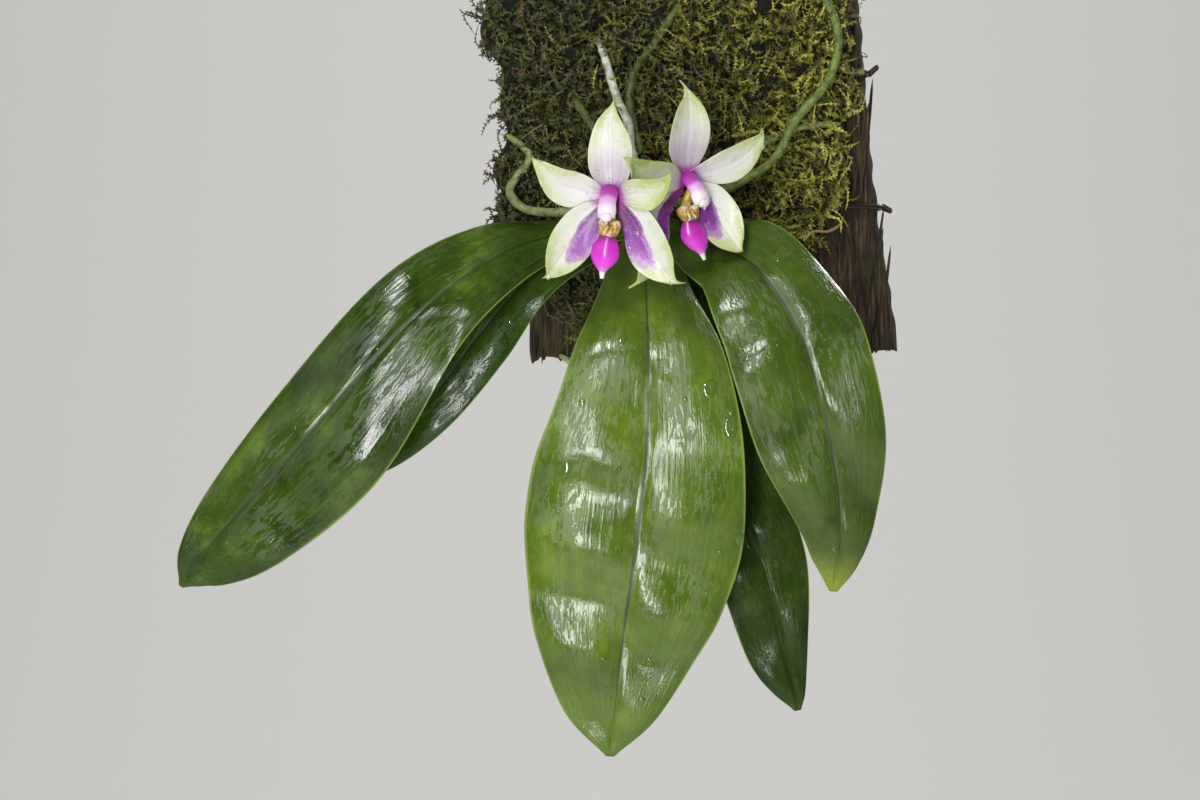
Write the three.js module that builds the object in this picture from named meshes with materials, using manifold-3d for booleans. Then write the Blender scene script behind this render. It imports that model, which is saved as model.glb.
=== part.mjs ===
// A bellina orchid grown on a hanging wooden slab: a split board with a moss pad tied to it, a short
// stem with its roots, five drooping leaves, and a spike that carries two blooms in front of them.
// Millimetres. X is to the viewer's right, Y runs into the wall and Z is up. The origin is on the
// slab's flat back.
import * as THREE from "three";
import { mergeVertices } from "three/addons/utils/BufferGeometryUtils.js";
import Module from "manifold-3d";

// Driving dimensions of the holder.
const SLAB_CORNERS = {
  lowLeft: [-54.4, -106.5],
  lowRight: [77, -103],
  highLeft: [-74, 103],
  highRight: [52.5, 107],
};
const SLAB_THICK = 20;
const FIT_GAP = 0.3;
const TIE_RADIUS = 0.9;
const TIE_HEIGHTS = [70, -6.5, -54.5];
const TIE_SINK = 1.1;
const HANGER_RADIUS = 1.1;
const HANGER_HALF_SPAN = 11;
const HANGER_RISE = 22.5;
const HANGER_LEG = 15;

// The moss pad from its lower edge up: [height, left edge, right edge, thickness over the slab].
const MOSS_STATIONS = [
  [-97, -32, -4, 3],
  [-82, -50, 22, 8],
  [-68, -61, 41, 10],
  [-52, -66, 52, 11],
  [-34, -65, 56, 12],
  [-14, -63, 59, 12],
  [8, -70, 60, 13],
  [32, -73, 58, 13],
  [58, -75, 55, 12],
  [82, -76, 53, 10],
  [98, -71, 49, 5],
];
const MOSS_BACK = 12;

// The stem from its upper, older end to the crown, with its radius at each place.
const STEM_STATIONS = [
  [-14, -32, -42, 4.5],
  [-13.6, -37, -50, 6.6],
  [-13, -43, -59, 7],
  [-12.6, -49, -67, 6.6],
  [-12.4, -55, -74, 3.5],
];

// Leaves from the stem to the tip: [x, y, z, half-width above or left, half-width below or right,
// upward tilt]. Waves are how far the two margins swing, and where along the leaf the swing starts.
const LEAVES = {
  leaf_left_front: {
    stations: [
      [-15, -47, -62, 6, 6, 50],
      [-27.5, -55, -63.5, 7.5, 6.5, 45],
      [-44.2, -68, -65.5, 9.5, 8.5, 36],
      [-63.3, -80, -73, 13.5, 13, 28],
      [-91.4, -89, -93.3, 17.2, 19.5, 18],
      [-124.1, -87, -130, 17.8, 27.5, 12],
      [-151.4, -77, -159.8, 13.7, 22.5, 8],
      [-166.5, -70, -176.5, 8, 12.5, 6],
      [-172.6, -66, -185.2, 1, 1, 6],
    ],
    waves: [2.4, 2.2, 0.1],
  },
  leaf_left_back: {
    stations: [
      [-15, -43, -60, 5.5, 5.5, 40],
      [-28, -48, -65, 7, 7, 30],
      [-42, -55, -71.5, 9, 8.5, 24],
      [-57.5, -60, -84, 11, 10, 18],
      [-72, -61, -101, 12, 12, 14],
      [-88, -58, -121.5, 11.5, 11.5, 10],
      [-103, -53, -137.5, 8, 8, 8],
      [-115.5, -48, -150.5, 1, 1, 6],
    ],
    waves: [1.2, 1.6, 0.3],
  },
  leaf_centre: {
    stations: [
      [-13, -52, -64, 6, 6, 60],
      [-14, -68, -72, 10.5, 10.5, 45],
      [-14, -82, -84.6, 16, 16, 32],
      [-13.5, -93, -102, 24, 24, 20],
      [-13.5, -96.5, -123.8, 31, 30, 10],
      [-14.5, -96, -144.5, 37, 33.5, 5],
      [-17.1, -93, -167.6, 38, 35.5, 2],
      [-19.8, -89, -187.2, 34.4, 32.3, 0],
      [-22.1, -85, -203.9, 29.6, 26.2, 0],
      [-24.8, -80, -228.7, 17, 14, 0],
      [-26.1, -77, -242.2, 1.5, 1.5, 0],
    ],
    waves: [1.6, 2.5, 0.15],
  },
  leaf_right_front: {
    stations: [
      [-10, -50, -61, 6, 6, 50],
      [-1, -60, -65, 9.5, 9, 44],
      [9.3, -73, -70.4, 14, 13, 34],
      [18.6, -84, -74.3, 18, 16.5, 26],
      [27, -92, -82.7, 22.5, 18.5, 20],
      [34.8, -96, -94.8, 25, 20, 14],
      [40.1, -96.5, -108.1, 26, 20.4, 10],
      [47.7, -92, -136.8, 24.1, 18.6, 6],
      [51.2, -86, -161.5, 15.3, 12.4, 4],
      [50.9, -81, -175.9, 9.1, 7.5, 4],
      [49.5, -77, -186.2, 1.5, 1.5, 4],
    ],
    waves: [0.8, 4.2, 0.55],
  },
  leaf_right_back: {
    stations: [
      [-11, -46, -64, 5.5, 5.5, 40],
      [-5, -51, -76, 8.5, 8.5, 24],
      [1.5, -57, -94.2, 13.5, 13.5, 14],
      [10.9, -62, -132.1, 17.8, 17.8, 6],
      [20.1, -62, -162.2, 17.3, 16.8, 4],
      [27.4, -60, -181.8, 16, 15, 2],
      [33.6, -57, -207.2, 13, 8.8, 0],
      [37.6, -54, -221.5, 7.5, 4.2, 0],
      [38.9, -53, -229, 1.2, 1.2, 0],
    ],
    waves: [1.2, 1.2, 0.4],
  },
};
const LEAF_THICK = 2.2;
const LEAF_FOLD = 0.2;
const LEAF_CURL = 0.24;

// Roots from the stem to the tip, each with its radius.
const ROOTS = {
  root_silver_up: {
    radius: 1.65,
    route: [
      [-15, -37, -46],
      [-18.3, -37, -34],
      [-19.4, -37, -25],
      [-23.2, -37, -16.5],
      [-26, -36.6, -7.8],
      [-28.4, -35.6, 0.4],
      [-30.6, -33, 5.8],
    ],
  },
  root_dark_up: {
    radius: 1.9,
    route: [
      [-12.5, -35, -45],
      [-15.5, -34.5, -33],
      [-19, -33.5, -18],
      [-17.5, -33, -7],
      [-12.6, -33, 1],
      [-6.3, -33, 10],
      [-2, -33, 19],
      [0.5, -32.4, 36],
      [-3, -30.5, 52],
    ],
  },
  root_short_left: {
    radius: 1.7,
    route: [
      [-16, -36, -45],
      [-24, -36.5, -35.5],
      [-30, -36, -28.4],
      [-34, -35.4, -22.6],
      [-37.2, -34, -17.8],
      [-39, -31, -12.5],
    ],
  },
  root_hooked_left: {
    radius: 1.7,
    route: [
      [-17, -41, -52.5],
      [-27, -42.5, -53.5],
      [-38.2, -41, -55.6],
      [-48.8, -39.5, -56],
      [-56.8, -38, -54.2],
      [-61.2, -36.4, -48.8],
      [-59, -34.6, -43.6],
      [-55.4, -33, -38.8],
      [-54.4, -32.4, -35.2],
      [-57.6, -33, -31.8],
      [-62.5, -33.8, -28.4],
    ],
  },
  root_long_right: {
    radius: 1.75,
    route: [
      [-9.5, -42, -52],
      [-2, -42.5, -52.6],
      [7.2, -41, -50.2],
      [19.6, -38.5, -45.4],
      [31.9, -37.4, -36.9],
      [39.3, -37.2, -23.5],
      [50.2, -36, -10.1],
      [54.3, -35.6, 2.9],
      [52.7, -35.4, 12.6],
      [49.6, -35.2, 20],
      [45.5, -34.6, 34],
      [43, -33, 48],
      [44.5, -30, 60],
    ],
  },
  root_crossing_right: {
    radius: 1.5,
    route: [
      [-10.5, -37.5, -47],
      [-4, -37.5, -43.8],
      [5.6, -36.4, -40.6],
      [21.5, -34.6, -34.6],
      [35.6, -33, -27.8],
      [43.5, -32.6, -25.2],
      [55.5, -30, -24.4],
    ],
  },
  root_low: {
    radius: 1.6,
    route: [
      [-14.5, -45, -66],
      [-17, -37, -76],
      [-20.5, -27, -88],
      [-28.8, -23.4, -101.5],
      [-37.3, -22.6, -108.6],
      [-44, -22.6, -105.8],
    ],
  },
};

// Each bloom: where its receptacle is, which way it faces, how far its column and lip turn round that
// line, how far its lip leans aside and up at the places LIP_LEAN_AT, and its tepals. Every row of a
// tepal, from its foot to its tip, is the x and z of one margin, the x and z of the other, and the
// depth of the middle between them. First comes the dorsal sepal, then the petals and lateral sepals.
const LIP_LEAN_AT = [-2.8, -11, -18, -27.6];

const BLOOMS = {
  bloom_left: {
    at: [-26, -107, -53.3],
    yaw: -12,
    pitch: -14,
    columnTurn: 0,
    lipTurn: -6,
    lipAside: [0, 1.8, 0.3, 0],
    lipUp: [0, 1.2, 0.2, 0],
    tepals: [
      [
        [-27.9, -53.2, -23.9, -53.2, -106.8],
        [-30.8, -49.7, -20.8, -50, -106.1],
        [-33, -45.2, -19.1, -45.6, -105.2],
        [-33.4, -39.9, -18.7, -40.4, -104.4],
        [-32.5, -34.7, -19.5, -35.3, -103.7],
        [-30.8, -30, -21.5, -30.9, -103.1],
        [-28.3, -26.6, -23.4, -27.3, -102.6],
        [-26.1, -24.2, -24.4, -24.4, -102.3],
        [-24.9, -21.6, -24.9, -21.6, -102],
      ],
      [
        [-27.5, -55.9, -27.5, -53.1, -107.2],
        [-31.9, -57, -30, -50.5, -107.5],
        [-36.5, -58.1, -33.2, -48.3, -107.8],
        [-41.6, -57.7, -37, -46.7, -108.2],
        [-46, -55.2, -41, -45.8, -108.9],
        [-48.7, -51.3, -44.6, -44.6, -109.8],
        [-50.3, -47.6, -47.7, -43.5, -110.7],
        [-51.4, -44.8, -50.1, -42.9, -111.4],
        [-52.2, -42.2, -52.2, -42.2, -112],
      ],
      [
        [-23.6, -52.6, -23.6, -56.9, -107.6],
        [-22.1, -50.6, -20.3, -57.9, -109.3],
        [-19.7, -49.4, -16.8, -59.1, -111.1],
        [-16.8, -49.3, -12.9, -59.4, -113],
        [-13.9, -49.6, -9.7, -57.4, -114.8],
        [-11.2, -49.6, -7.7, -54.5, -116.4],
        [-8.9, -49, -6.6, -51.6, -117.7],
        [-7.4, -48.3, -6.2, -49.4, -118.6],
        [-6.2, -47.3, -6.2, -47.3, -119.5],
      ],
      [
        [-26.9, -58.2, -29.2, -55.5, -107.1],
        [-27.8, -62.7, -33.9, -56.4, -107.2],
        [-29.6, -67.4, -38.6, -58.6, -107.2],
        [-31.8, -72.3, -42.6, -62.6, -107.3],
        [-35.1, -76.5, -45.6, -67.3, -107.7],
        [-39.1, -79.5, -47, -72.3, -108.2],
        [-43.1, -81.1, -47.3, -76.8, -108.8],
        [-46.2, -81.7, -47.1, -80.2, -109.2],
        [-49.1, -82.2, -49.1, -82.2, -109.5],
      ],
      [
        [-22.9, -54.9, -24.6, -57.5, -107.1],
        [-18.1, -56.4, -22.8, -62.4, -108.1],
        [-13.6, -59.5, -21.5, -67.8, -109.1],
        [-10, -64.2, -20.2, -73.6, -110.1],
        [-7.3, -69.3, -17.2, -78.6, -110.7],
        [-5.5, -74.5, -12.7, -81.8, -110.9],
        [-5.2, -79.1, -8.3, -83.3, -110.9],
        [-4.3, -82.4, -4.8, -83.8, -111],
        [-1.6, -83.8, -1.6, -83.8, -111],
      ],
    ],
    ovary: [
      [-24.5, -103.5, -52.5],
      [-19, -96, -49.5],
      [-12.5, -88.5, -47.6],
      [-8.6, -83.6, -47.3],
    ],
  },
  bloom_right: {
    at: [0, -91, -48],
    yaw: 25,
    pitch: -12,
    columnTurn: 16,
    lipTurn: 10,
    lipAside: [0, -4, -2.2, 0.6],
    lipUp: [0, 2.2, 1.3, 1.2],
    tepals: [
      [
        [-2.6, -46.9, 1.3, -46.5, -90.9],
        [-4.9, -43.1, 3.6, -42.5, -90.5],
        [-6.6, -38.7, 5.9, -37.9, -90.1],
        [-6.3, -33.5, 7.1, -32.6, -89.7],
        [-5.3, -28.4, 6.6, -27.3, -89.3],
        [-3.6, -23.9, 4.7, -22.6, -88.9],
        [-1.6, -20.3, 2, -19.2, -88.5],
        [-1.3, -17.2, -0.3, -16.9, -88.2],
        [-2, -14.6, -2, -14.6, -88],
      ],
      [
        [-0.1, -45.5, 0.6, -49.2, -90.9],
        [3.2, -43.4, 5.4, -48.8, -90.2],
        [6.7, -41, 10.4, -49.2, -89.5],
        [10.5, -38.7, 15.7, -48.1, -88.8],
        [14.6, -36.9, 20.3, -45.1, -88.3],
        [18.4, -35.1, 23.4, -41.1, -88.2],
        [21.7, -33.7, 25.1, -37.1, -88.1],
        [24.1, -32.5, 25.7, -33.8, -88.1],
        [25.8, -30.9, 25.8, -30.9, -88],
      ],
      [
        [-1.4, -50.3, -1.4, -46.9, -91.8],
        [-4.6, -51.9, -3.3, -45.1, -94.6],
        [-8.3, -52.6, -5.3, -43.2, -97.7],
        [-12.2, -52.3, -8.5, -42.8, -100.9],
        [-15.9, -51, -11.8, -42.7, -103.8],
        [-19, -49.2, -14.8, -42.5, -106.4],
        [-19.5, -46.3, -17.4, -42.4, -108.4],
        [-20.3, -44.2, -19.3, -42.3, -110],
        [-21.1, -42.3, -21.1, -42.3, -111.4],
      ],
      [
        [0.6, -47.2, -0.4, -50.5, -91],
        [5, -48.7, 0.9, -54.6, -90.4],
        [10, -49.7, 2.3, -59, -89.7],
        [13.9, -53.2, 3.8, -63.7, -89.1],
        [16.8, -57.7, 6.4, -67.8, -89.1],
        [18.2, -62.5, 10, -70.6, -89.6],
        [18.6, -66.8, 13.8, -71.9, -90.2],
        [18.3, -70.1, 16.6, -72.5, -90.6],
        [19.2, -72.4, 19.2, -72.4, -91],
      ],
      [
        [-1.7, -51.6, -3.7, -49.6, -91.3],
        [-4.3, -56.1, -8.2, -52.6, -92.5],
        [-6.6, -61.2, -11.9, -57, -93.8],
        [-6.6, -67.2, -14.8, -62.5, -95.2],
        [-8.1, -73, -16.7, -68.4, -96.8],
        [-10.5, -78.1, -17.3, -74.1, -98.4],
        [-13.6, -81.5, -16.9, -79, -99.9],
        [-16.7, -83.3, -17.3, -82.6, -101],
        [-19.2, -85.2, -19.2, -85.2, -102],
      ],
    ],
    ovary: [
      [-1, -87.5, -47.6],
      [-4, -81.5, -47.2],
      [-7, -76.5, -47.4],
    ],
  },
};
const TEPAL_THICK = 1;
const TEPAL_CURL = 2.4;
const TEPAL_FOOT = -0.05;
const RECEPTACLE_RADIUS = 3.3;

// The spike from the stem to the end of its rachis, with its radius at each place.
const SPIKE_STATIONS = [
  [-11.5, -40, -53.5, 2.2],
  [-9.5, -52, -50.5, 2.1],
  [-8.2, -64, -48.6, 2],
  [-7.6, -76, -47.6, 1.9],
  [-8.4, -84.5, -47.4, 1.2],
];

const wasm = await Module();
wasm.setup();

// A point on the smooth curve through equally spaced rows of numbers; t runs from 0 to 1.
function through(rows, t) {
  const spans = rows.length - 1;
  const span = THREE.MathUtils.clamp(Math.floor(t * spans), 0, spans - 1);
  const f = t * spans - span;
  const start = rows[span];
  const end = rows[span + 1];
  const before = rows[span - 1] ?? start.map((v, k) => 2 * v - end[k]);
  const after = rows[span + 2] ?? end.map((v, k) => 2 * v - start[k]);
  return start.map((p, k) => {
    const slopeIn = (end[k] - before[k]) / 2;
    const slopeOut = (after[k] - p) / 2;
    const rise = end[k] - p;
    const square = 3 * rise - 2 * slopeIn - slopeOut;
    const cube = slopeIn + slopeOut - 2 * rise;
    return p + f * (slopeIn + f * (square + f * cube));
  });
}

const vector = (row) => new THREE.Vector3(row[0], row[1], row[2]);

function directionAt(rows, t) {
  const step = 0.005;
  return vector(through(rows, t + step)).sub(vector(through(rows, t - step))).normalize();
}

// A closed body through rings of points, flat at both ends. The first half of a ring is its face and
// the second half its back, and both halves are split into triangles alike.
function loft(rings) {
  const count = rings[0].length;
  const half = count / 2;
  const faces = [];
  for (let i = 0; i < rings.length - 1; i++) {
    for (let j = 0; j < count; j++) {
      const a = i * count + j;
      const b = i * count + ((j + 1) % count);
      const c = b + count;
      const d = a + count;
      if (j < half) faces.push(a, b, c, a, c, d);
      else faces.push(a, b, d, b, c, d);
    }
  }
  const last = (rings.length - 1) * count;
  for (let j = 0; j < half - 1; j++) {
    const [a, b, c, d] = [j, j + 1, count - 2 - j, count - 1 - j];
    faces.push(a, c, b, a, d, c);
    faces.push(last + a, last + b, last + c, last + a, last + c, last + d);
  }
  const points = rings.flat();
  let volume = 0;
  for (let i = 0; i < faces.length; i += 3) {
    const [p, q, r] = [points[faces[i]], points[faces[i + 1]], points[faces[i + 2]]];
    volume += p.dot(q.clone().cross(r));
  }
  if (volume < 0) faces.reverse();
  const geometry = new THREE.BufferGeometry().setFromPoints(points);
  geometry.setIndex(faces);
  return geometry;
}

function solidOf(geometry) {
  const bare = geometry.clone();
  bare.deleteAttribute("normal");
  bare.deleteAttribute("uv");
  const merged = mergeVertices(bare, 1e-4);
  const vertProperties = merged.attributes.position.array;
  const triVerts = new Uint32Array(merged.index.array);
  return new wasm.Manifold(new wasm.Mesh({ numProp: 3, vertProperties, triVerts }));
}

// The largest body of a cut solid; scraps that a cut frees are dropped.
function largest(solid) {
  return solid.decompose().reduce((best, body) => (body.volume() > best.volume() ? body : best));
}

function cutBy(solid, ...others) {
  return largest(others.reduce((left, other) => left.subtract(other), solid));
}

// A round body along stations of [x, y, z, radius].
function tube(stations, { sides = 8, steps, grow = 0, ridge = 0 }) {
  const rings = [];
  let across = new THREE.Vector3(0.3, 0.2, 1);
  for (let i = 0; i <= steps; i++) {
    const t = i / steps;
    const row = through(stations, t);
    const along = directionAt(stations, t);
    across = across.clone().addScaledVector(along, -across.dot(along)).normalize();
    const other = along.clone().cross(across);
    const end = (i === 0 ? -grow : 0) + (i === steps ? grow : 0);
    const centre = vector(row).addScaledVector(along, end);
    const radius = row[3] + grow + ridge * Math.abs(Math.sin(i * 1.9));
    rings.push(
      Array.from({ length: sides }, (_, k) => {
        const turn = (2 * Math.PI * k) / sides;
        const point = centre.clone().addScaledVector(across, radius * Math.cos(turn));
        return point.addScaledVector(other, radius * Math.sin(turn));
      }),
    );
  }
  return solidOf(loft(rings));
}

// A thin blade: surface(u, v) is its middle, u from base to tip and v from one edge to the other.
function blade(surface, thickness, steps, cross, grow = 0) {
  const tiny = 0.004;
  const rings = [];
  for (let i = 0; i <= steps; i++) {
    const u = i / steps;
    const face = [];
    const back = [];
    for (let j = 0; j <= cross; j++) {
      const v = (2 * j) / cross - 1;
      const point = surface(u, v);
      const down = surface(u + tiny, v).sub(surface(u - tiny, v));
      const over = surface(u, v + tiny).sub(surface(u, v - tiny));
      const normal = down.clone().cross(over).normalize();
      const depth = thickness(u, v) / 2 + grow;
      const end = (i === 0 ? -grow : 0) + (i === steps ? grow : 0);
      point.addScaledVector(down.normalize(), end);
      face.push(point.clone().addScaledVector(normal, depth));
      back.unshift(point.clone().addScaledVector(normal, -depth));
    }
    rings.push([...face, ...back]);
  }
  return solidOf(loft(rings));
}

// A strap leaf: a gutter along the rib, halves that roll down to the edges, and waved edges.
function leafSolid({ stations, waves: [waveLeft, waveRight, phase] }, grow = 0) {
  const surface = (u, v) => {
    const [x, y, z, left, right, tilt] = through(stations, u);
    const along = directionAt(stations, u);
    const sky = THREE.MathUtils.degToRad(tilt);
    const face = new THREE.Vector3(0, -Math.cos(sky), Math.sin(sky));
    face.addScaledVector(along, -face.dot(along)).normalize();
    const side = along.clone().cross(face);
    const half = Math.max(v > 0 ? left : right, 0.5) + grow;
    const fade = Math.sin(Math.PI * THREE.MathUtils.clamp(u, 0, 1));
    const swing = Math.sin(2 * Math.PI * (2.6 * u + phase)) * fade;
    const wave = (v > 0 ? waveLeft : waveRight) * v * v * swing;
    const lift = half * (LEAF_FOLD * Math.abs(v) - LEAF_CURL * v * v) + wave;
    return new THREE.Vector3(x, y, z).addScaledVector(side, v * half).addScaledVector(face, lift);
  };
  const thickness = (u, v) => LEAF_THICK * (1 - 0.45 * v * v);
  return blade(surface, thickness, 18, 6, grow);
}

// The slab's thickness from its left side to its right, which has a split-off strip: [share, depth].
const SLAB_PROFILE = [
  [0, 6],
  [0.004, 12],
  [0.03, 16],
  [0.09, 18.6],
  [0.2, 20],
  [0.36, 19.4],
  [0.52, 20],
  [0.68, 19.5],
  [0.82, 20],
  [0.905, 19],
  [0.925, 16.4],
  [0.935, 17.8],
  [0.985, 14.4],
  [1, 8],
];

// A point of the slab between its four corners: s runs across from the left and t runs up.
function slabPoint(s, t) {
  const { lowLeft, lowRight, highLeft, highRight } = SLAB_CORNERS;
  const mix = THREE.MathUtils.lerp;
  const wander = Math.sin(9 * t + 2 * s) * 0.9;
  const x = mix(mix(lowLeft[0], lowRight[0], s), mix(highLeft[0], highRight[0], s), t) + wander;
  const z = mix(mix(lowLeft[1], lowRight[1], s), mix(highLeft[1], highRight[1], s), t);
  return [x, z];
}

function slabSolid(grow = 0) {
  const steps = 12;
  const rings = [];
  for (let i = 0; i <= steps; i++) {
    const t = i / steps;
    const end = (i === 0 ? -grow : 0) + (i === steps ? grow : 0);
    const at = (s, depth) => {
      const [x, z] = slabPoint(s, t);
      const side = (s < 0.02 ? -grow : 0) + (s > 0.98 ? grow : 0);
      return new THREE.Vector3(x + side, -depth, z + end);
    };
    const front = SLAB_PROFILE.map(([s, depth]) => {
      const uneven = 0.5 * Math.sin(31 * s + 7 * t);
      return at(s, (depth / 20) * SLAB_THICK + uneven + grow);
    });
    const back = SLAB_PROFILE.map(([s]) => at(s, -grow)).reverse();
    rings.push([...front, ...back]);
  }
  return solidOf(loft(rings));
}

// How far the moss stands out from the slab's back at a place, in clumps, with a dip under each tie.
function mossDepth(x, z, thick, v) {
  const dome = Math.sqrt(1 - v ** 6);
  const large = 1.8 * Math.sin(0.31 * x + 1.3) * Math.sin(0.27 * z);
  const small = 1.3 * Math.sin(0.57 * x - 0.43 * z) + Math.sin(0.8 * z + 0.3 * x);
  const dip = TIE_HEIGHTS.reduce((sum, height) => sum + 3.2 * Math.exp(-(((z - height) / 5) ** 2)), 0);
  return SLAB_THICK + (thick + large + small - dip) * dome;
}

function mossSolid() {
  const steps = 24;
  const cross = 14;
  const rings = [];
  for (let i = 0; i <= steps; i++) {
    const [z, left, right, thick] = through(MOSS_STATIONS, i / steps);
    const front = [];
    const back = [];
    for (let j = 0; j <= cross; j++) {
      const v = (2 * j) / cross - 1;
      const leftEdge = left - 2 * Math.sin(i * 2.3);
      const rightEdge = right + 1.6 * Math.sin(i * 1.7);
      const x = THREE.MathUtils.lerp(leftEdge, rightEdge, j / cross);
      front.push(vector([x, -mossDepth(x, z, thick, v * 0.98), z]));
      back.unshift(vector([x, -MOSS_BACK, z]));
    }
    rings.push([...front, ...back]);
  }
  return solidOf(loft(rings));
}

// A tie wire: one closed loop round the slab and the moss, sunk in a groove across the slab's back.
function tieSolid(height, grow = 0) {
  const t = (height - SLAB_CORNERS.lowLeft[1]) / (SLAB_CORNERS.highLeft[1] - SLAB_CORNERS.lowLeft[1]);
  const left = slabPoint(0, t)[0];
  const right = slabPoint(1, t)[0];
  const out = TIE_RADIUS + FIT_GAP + 0.3;
  const front = -SLAB_THICK - 9;
  const loop = [
    [left - out, -12],
    [left + 1, -18.6],
    [left + 9, -26.5],
    [left + 24, front],
    [(left + right) / 2, front - 1.2],
    [right - 34, front],
    [right - 22, -26.5],
    [right - 8, -21],
    [right + out - 1.4, -16],
    [right + out, -11],
    [right + out, -5],
    [right - 1.5, -TIE_SINK],
    [right - 12, -TIE_SINK],
    [left + 12, -TIE_SINK],
    [left + 1.5, -TIE_SINK],
    [left - out, -5],
  ];
  const sides = 6;
  const rings = loop.map(([x, y], i) => {
    const before = loop[(i + loop.length - 1) % loop.length];
    const after = loop[(i + 1) % loop.length];
    const along = new THREE.Vector3(after[0] - before[0], after[1] - before[1], 0).normalize();
    const outward = new THREE.Vector3(along.y, -along.x, 0);
    const radius = TIE_RADIUS + grow;
    const lean = 0.02 * (x - left) - 0.8;
    return Array.from({ length: sides }, (_, k) => {
      const turn = (2 * Math.PI * k) / sides;
      const point = new THREE.Vector3(x, y, height + lean + radius * Math.sin(turn));
      return point.addScaledVector(outward, radius * Math.cos(turn));
    });
  });
  const points = rings.flat();
  const faces = [];
  rings.forEach((_, i) => {
    const next = (i + 1) % rings.length;
    for (let j = 0; j < sides; j++) {
      const [a, b] = [i * sides + j, i * sides + ((j + 1) % sides)];
      const [d, c] = [next * sides + j, next * sides + ((j + 1) % sides)];
      faces.push(a, b, c, a, c, d);
    }
  });
  const geometry = new THREE.BufferGeometry().setFromPoints(points);
  geometry.setIndex(faces);
  const solid = solidOf(geometry);
  if (solid.volume() > 0) return solid;
  geometry.setIndex(faces.reverse());
  return solidOf(geometry);
}

// The hanger: a bent wire bail whose two legs are pushed into holes in the slab's top edge.
function hangerSolid(grow = 0) {
  const [x, z] = slabPoint(0.5, 1);
  const bend = [
    [1, -HANGER_LEG - grow],
    [1, -0.5 * HANGER_LEG],
    [1, 0],
    [1, 0.35 * HANGER_RISE],
    [0.86, 0.7 * HANGER_RISE],
    [0.5, 0.93 * HANGER_RISE],
  ];
  const y = -SLAB_THICK / 2;
  const leg = (side) => bend.map(([dx, dz]) => vector([x + side * dx * HANGER_HALF_SPAN, y, z + dz]));
  const crown = vector([x, y, z + HANGER_RISE]);
  const section = new THREE.Shape().absarc(0, 0, HANGER_RADIUS + grow, 0, 2 * Math.PI);
  const extrudePath = new THREE.CatmullRomCurve3([...leg(-1), crown, ...leg(1).reverse()]);
  const settings = { extrudePath, steps: 22, curveSegments: 4, bevelEnabled: false };
  return solidOf(new THREE.ExtrudeGeometry(section, settings));
}

function stemSolid(grow = 0) {
  return tube(STEM_STATIONS, { sides: 10, steps: 9, grow, ridge: 0.5 });
}

// A root narrows to a blunt tip.
function rootSolid({ route, radius }, grow = 0) {
  const spans = route.length - 1;
  const stations = route.map((place, i) => [...place, radius * (i === spans ? 0.5 : 1 - 0.02 * i)]);
  return tube(stations, { sides: 6, steps: Math.round(spans * 2), grow });
}

// The stalk, with short scale-like bracts that stand off it by turns.
function spikeSolid(grow = 0) {
  const stalk = tube(SPIKE_STATIONS, { sides: 8, steps: 8, grow });
  if (grow) return stalk;
  const bracts = [0.3, 0.52, 0.76].map((t, i) => {
    const [x, y, z] = through(SPIKE_STATIONS, t);
    const side = i % 2 ? 1 : -1;
    const stations = [
      [x + 0.4 * side, y + 1, z, 1.8],
      [x + 1.6 * side, y - 2, z + 0.3, 1.5],
      [x + 2.8 * side, y - 4.6, z + 0.8, 0.5],
    ];
    return tube(stations, { sides: 6, steps: 3 });
  });
  return wasm.Manifold.union([stalk, ...bracts]);
}

// The frame of a bloom: local x is its right, y its up and z the way it faces.
function bloomMatrix({ at, yaw, pitch }, roll = 0) {
  const turn = THREE.MathUtils.degToRad(yaw);
  const nod = THREE.MathUtils.degToRad(pitch);
  const right = new THREE.Vector3(Math.cos(turn), Math.sin(turn), 0);
  const level = Math.cos(nod);
  const face = new THREE.Vector3(Math.sin(turn) * level, -Math.cos(turn) * level, Math.sin(nod));
  const up = face.clone().cross(right);
  const frame = new THREE.Matrix4().makeBasis(right, up, face).setPosition(...at);
  return frame.multiply(new THREE.Matrix4().makeRotationZ(THREE.MathUtils.degToRad(roll)));
}

// One sepal or petal: a fleshy blade between two margins, rolled a little, with its point curled back.
// It starts a little before its first row, inside the receptacle.
function tepalSolid(bloom, rows, grow) {
  const facing = vector([0, 0, 1]).transformDirection(bloomMatrix(bloom));
  const across = (u) => {
    const [fromX, fromZ, toX, toZ] = through(rows, u);
    const half = vector([(toX - fromX) / 2, 0, (toZ - fromZ) / 2]);
    half.y = -(half.x * facing.x + half.z * facing.z) / facing.y;
    return half;
  };
  const surface = (share, v) => {
    const u = THREE.MathUtils.lerp(TEPAL_FOOT, 1, share);
    const [fromX, fromZ, toX, toZ, depth] = through(rows, u);
    const half = Math.max(across(u).length(), 0.4) + grow;
    const side = across(Math.min(u, 0.97)).normalize();
    const roll = half * (0.22 * v * v - 0.11);
    const curl = TEPAL_CURL * THREE.MathUtils.clamp((u - 0.84) / 0.16, 0, 1) ** 2;
    const middle = vector([(fromX + toX) / 2, depth, (fromZ + toZ) / 2]);
    return middle.addScaledVector(side, half * v).addScaledVector(facing, roll - curl);
  };
  return blade(surface, (u, v) => TEPAL_THICK * (1 - 0.3 * v * v), 11, 4, grow);
}

function ball(centre, [rx, ry, rz], grow = 0) {
  const sphere = new THREE.SphereGeometry(1, 8, 6);
  sphere.scale(rx + grow, ry + grow, rz + grow).translate(...centre);
  return solidOf(sphere);
}

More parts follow.
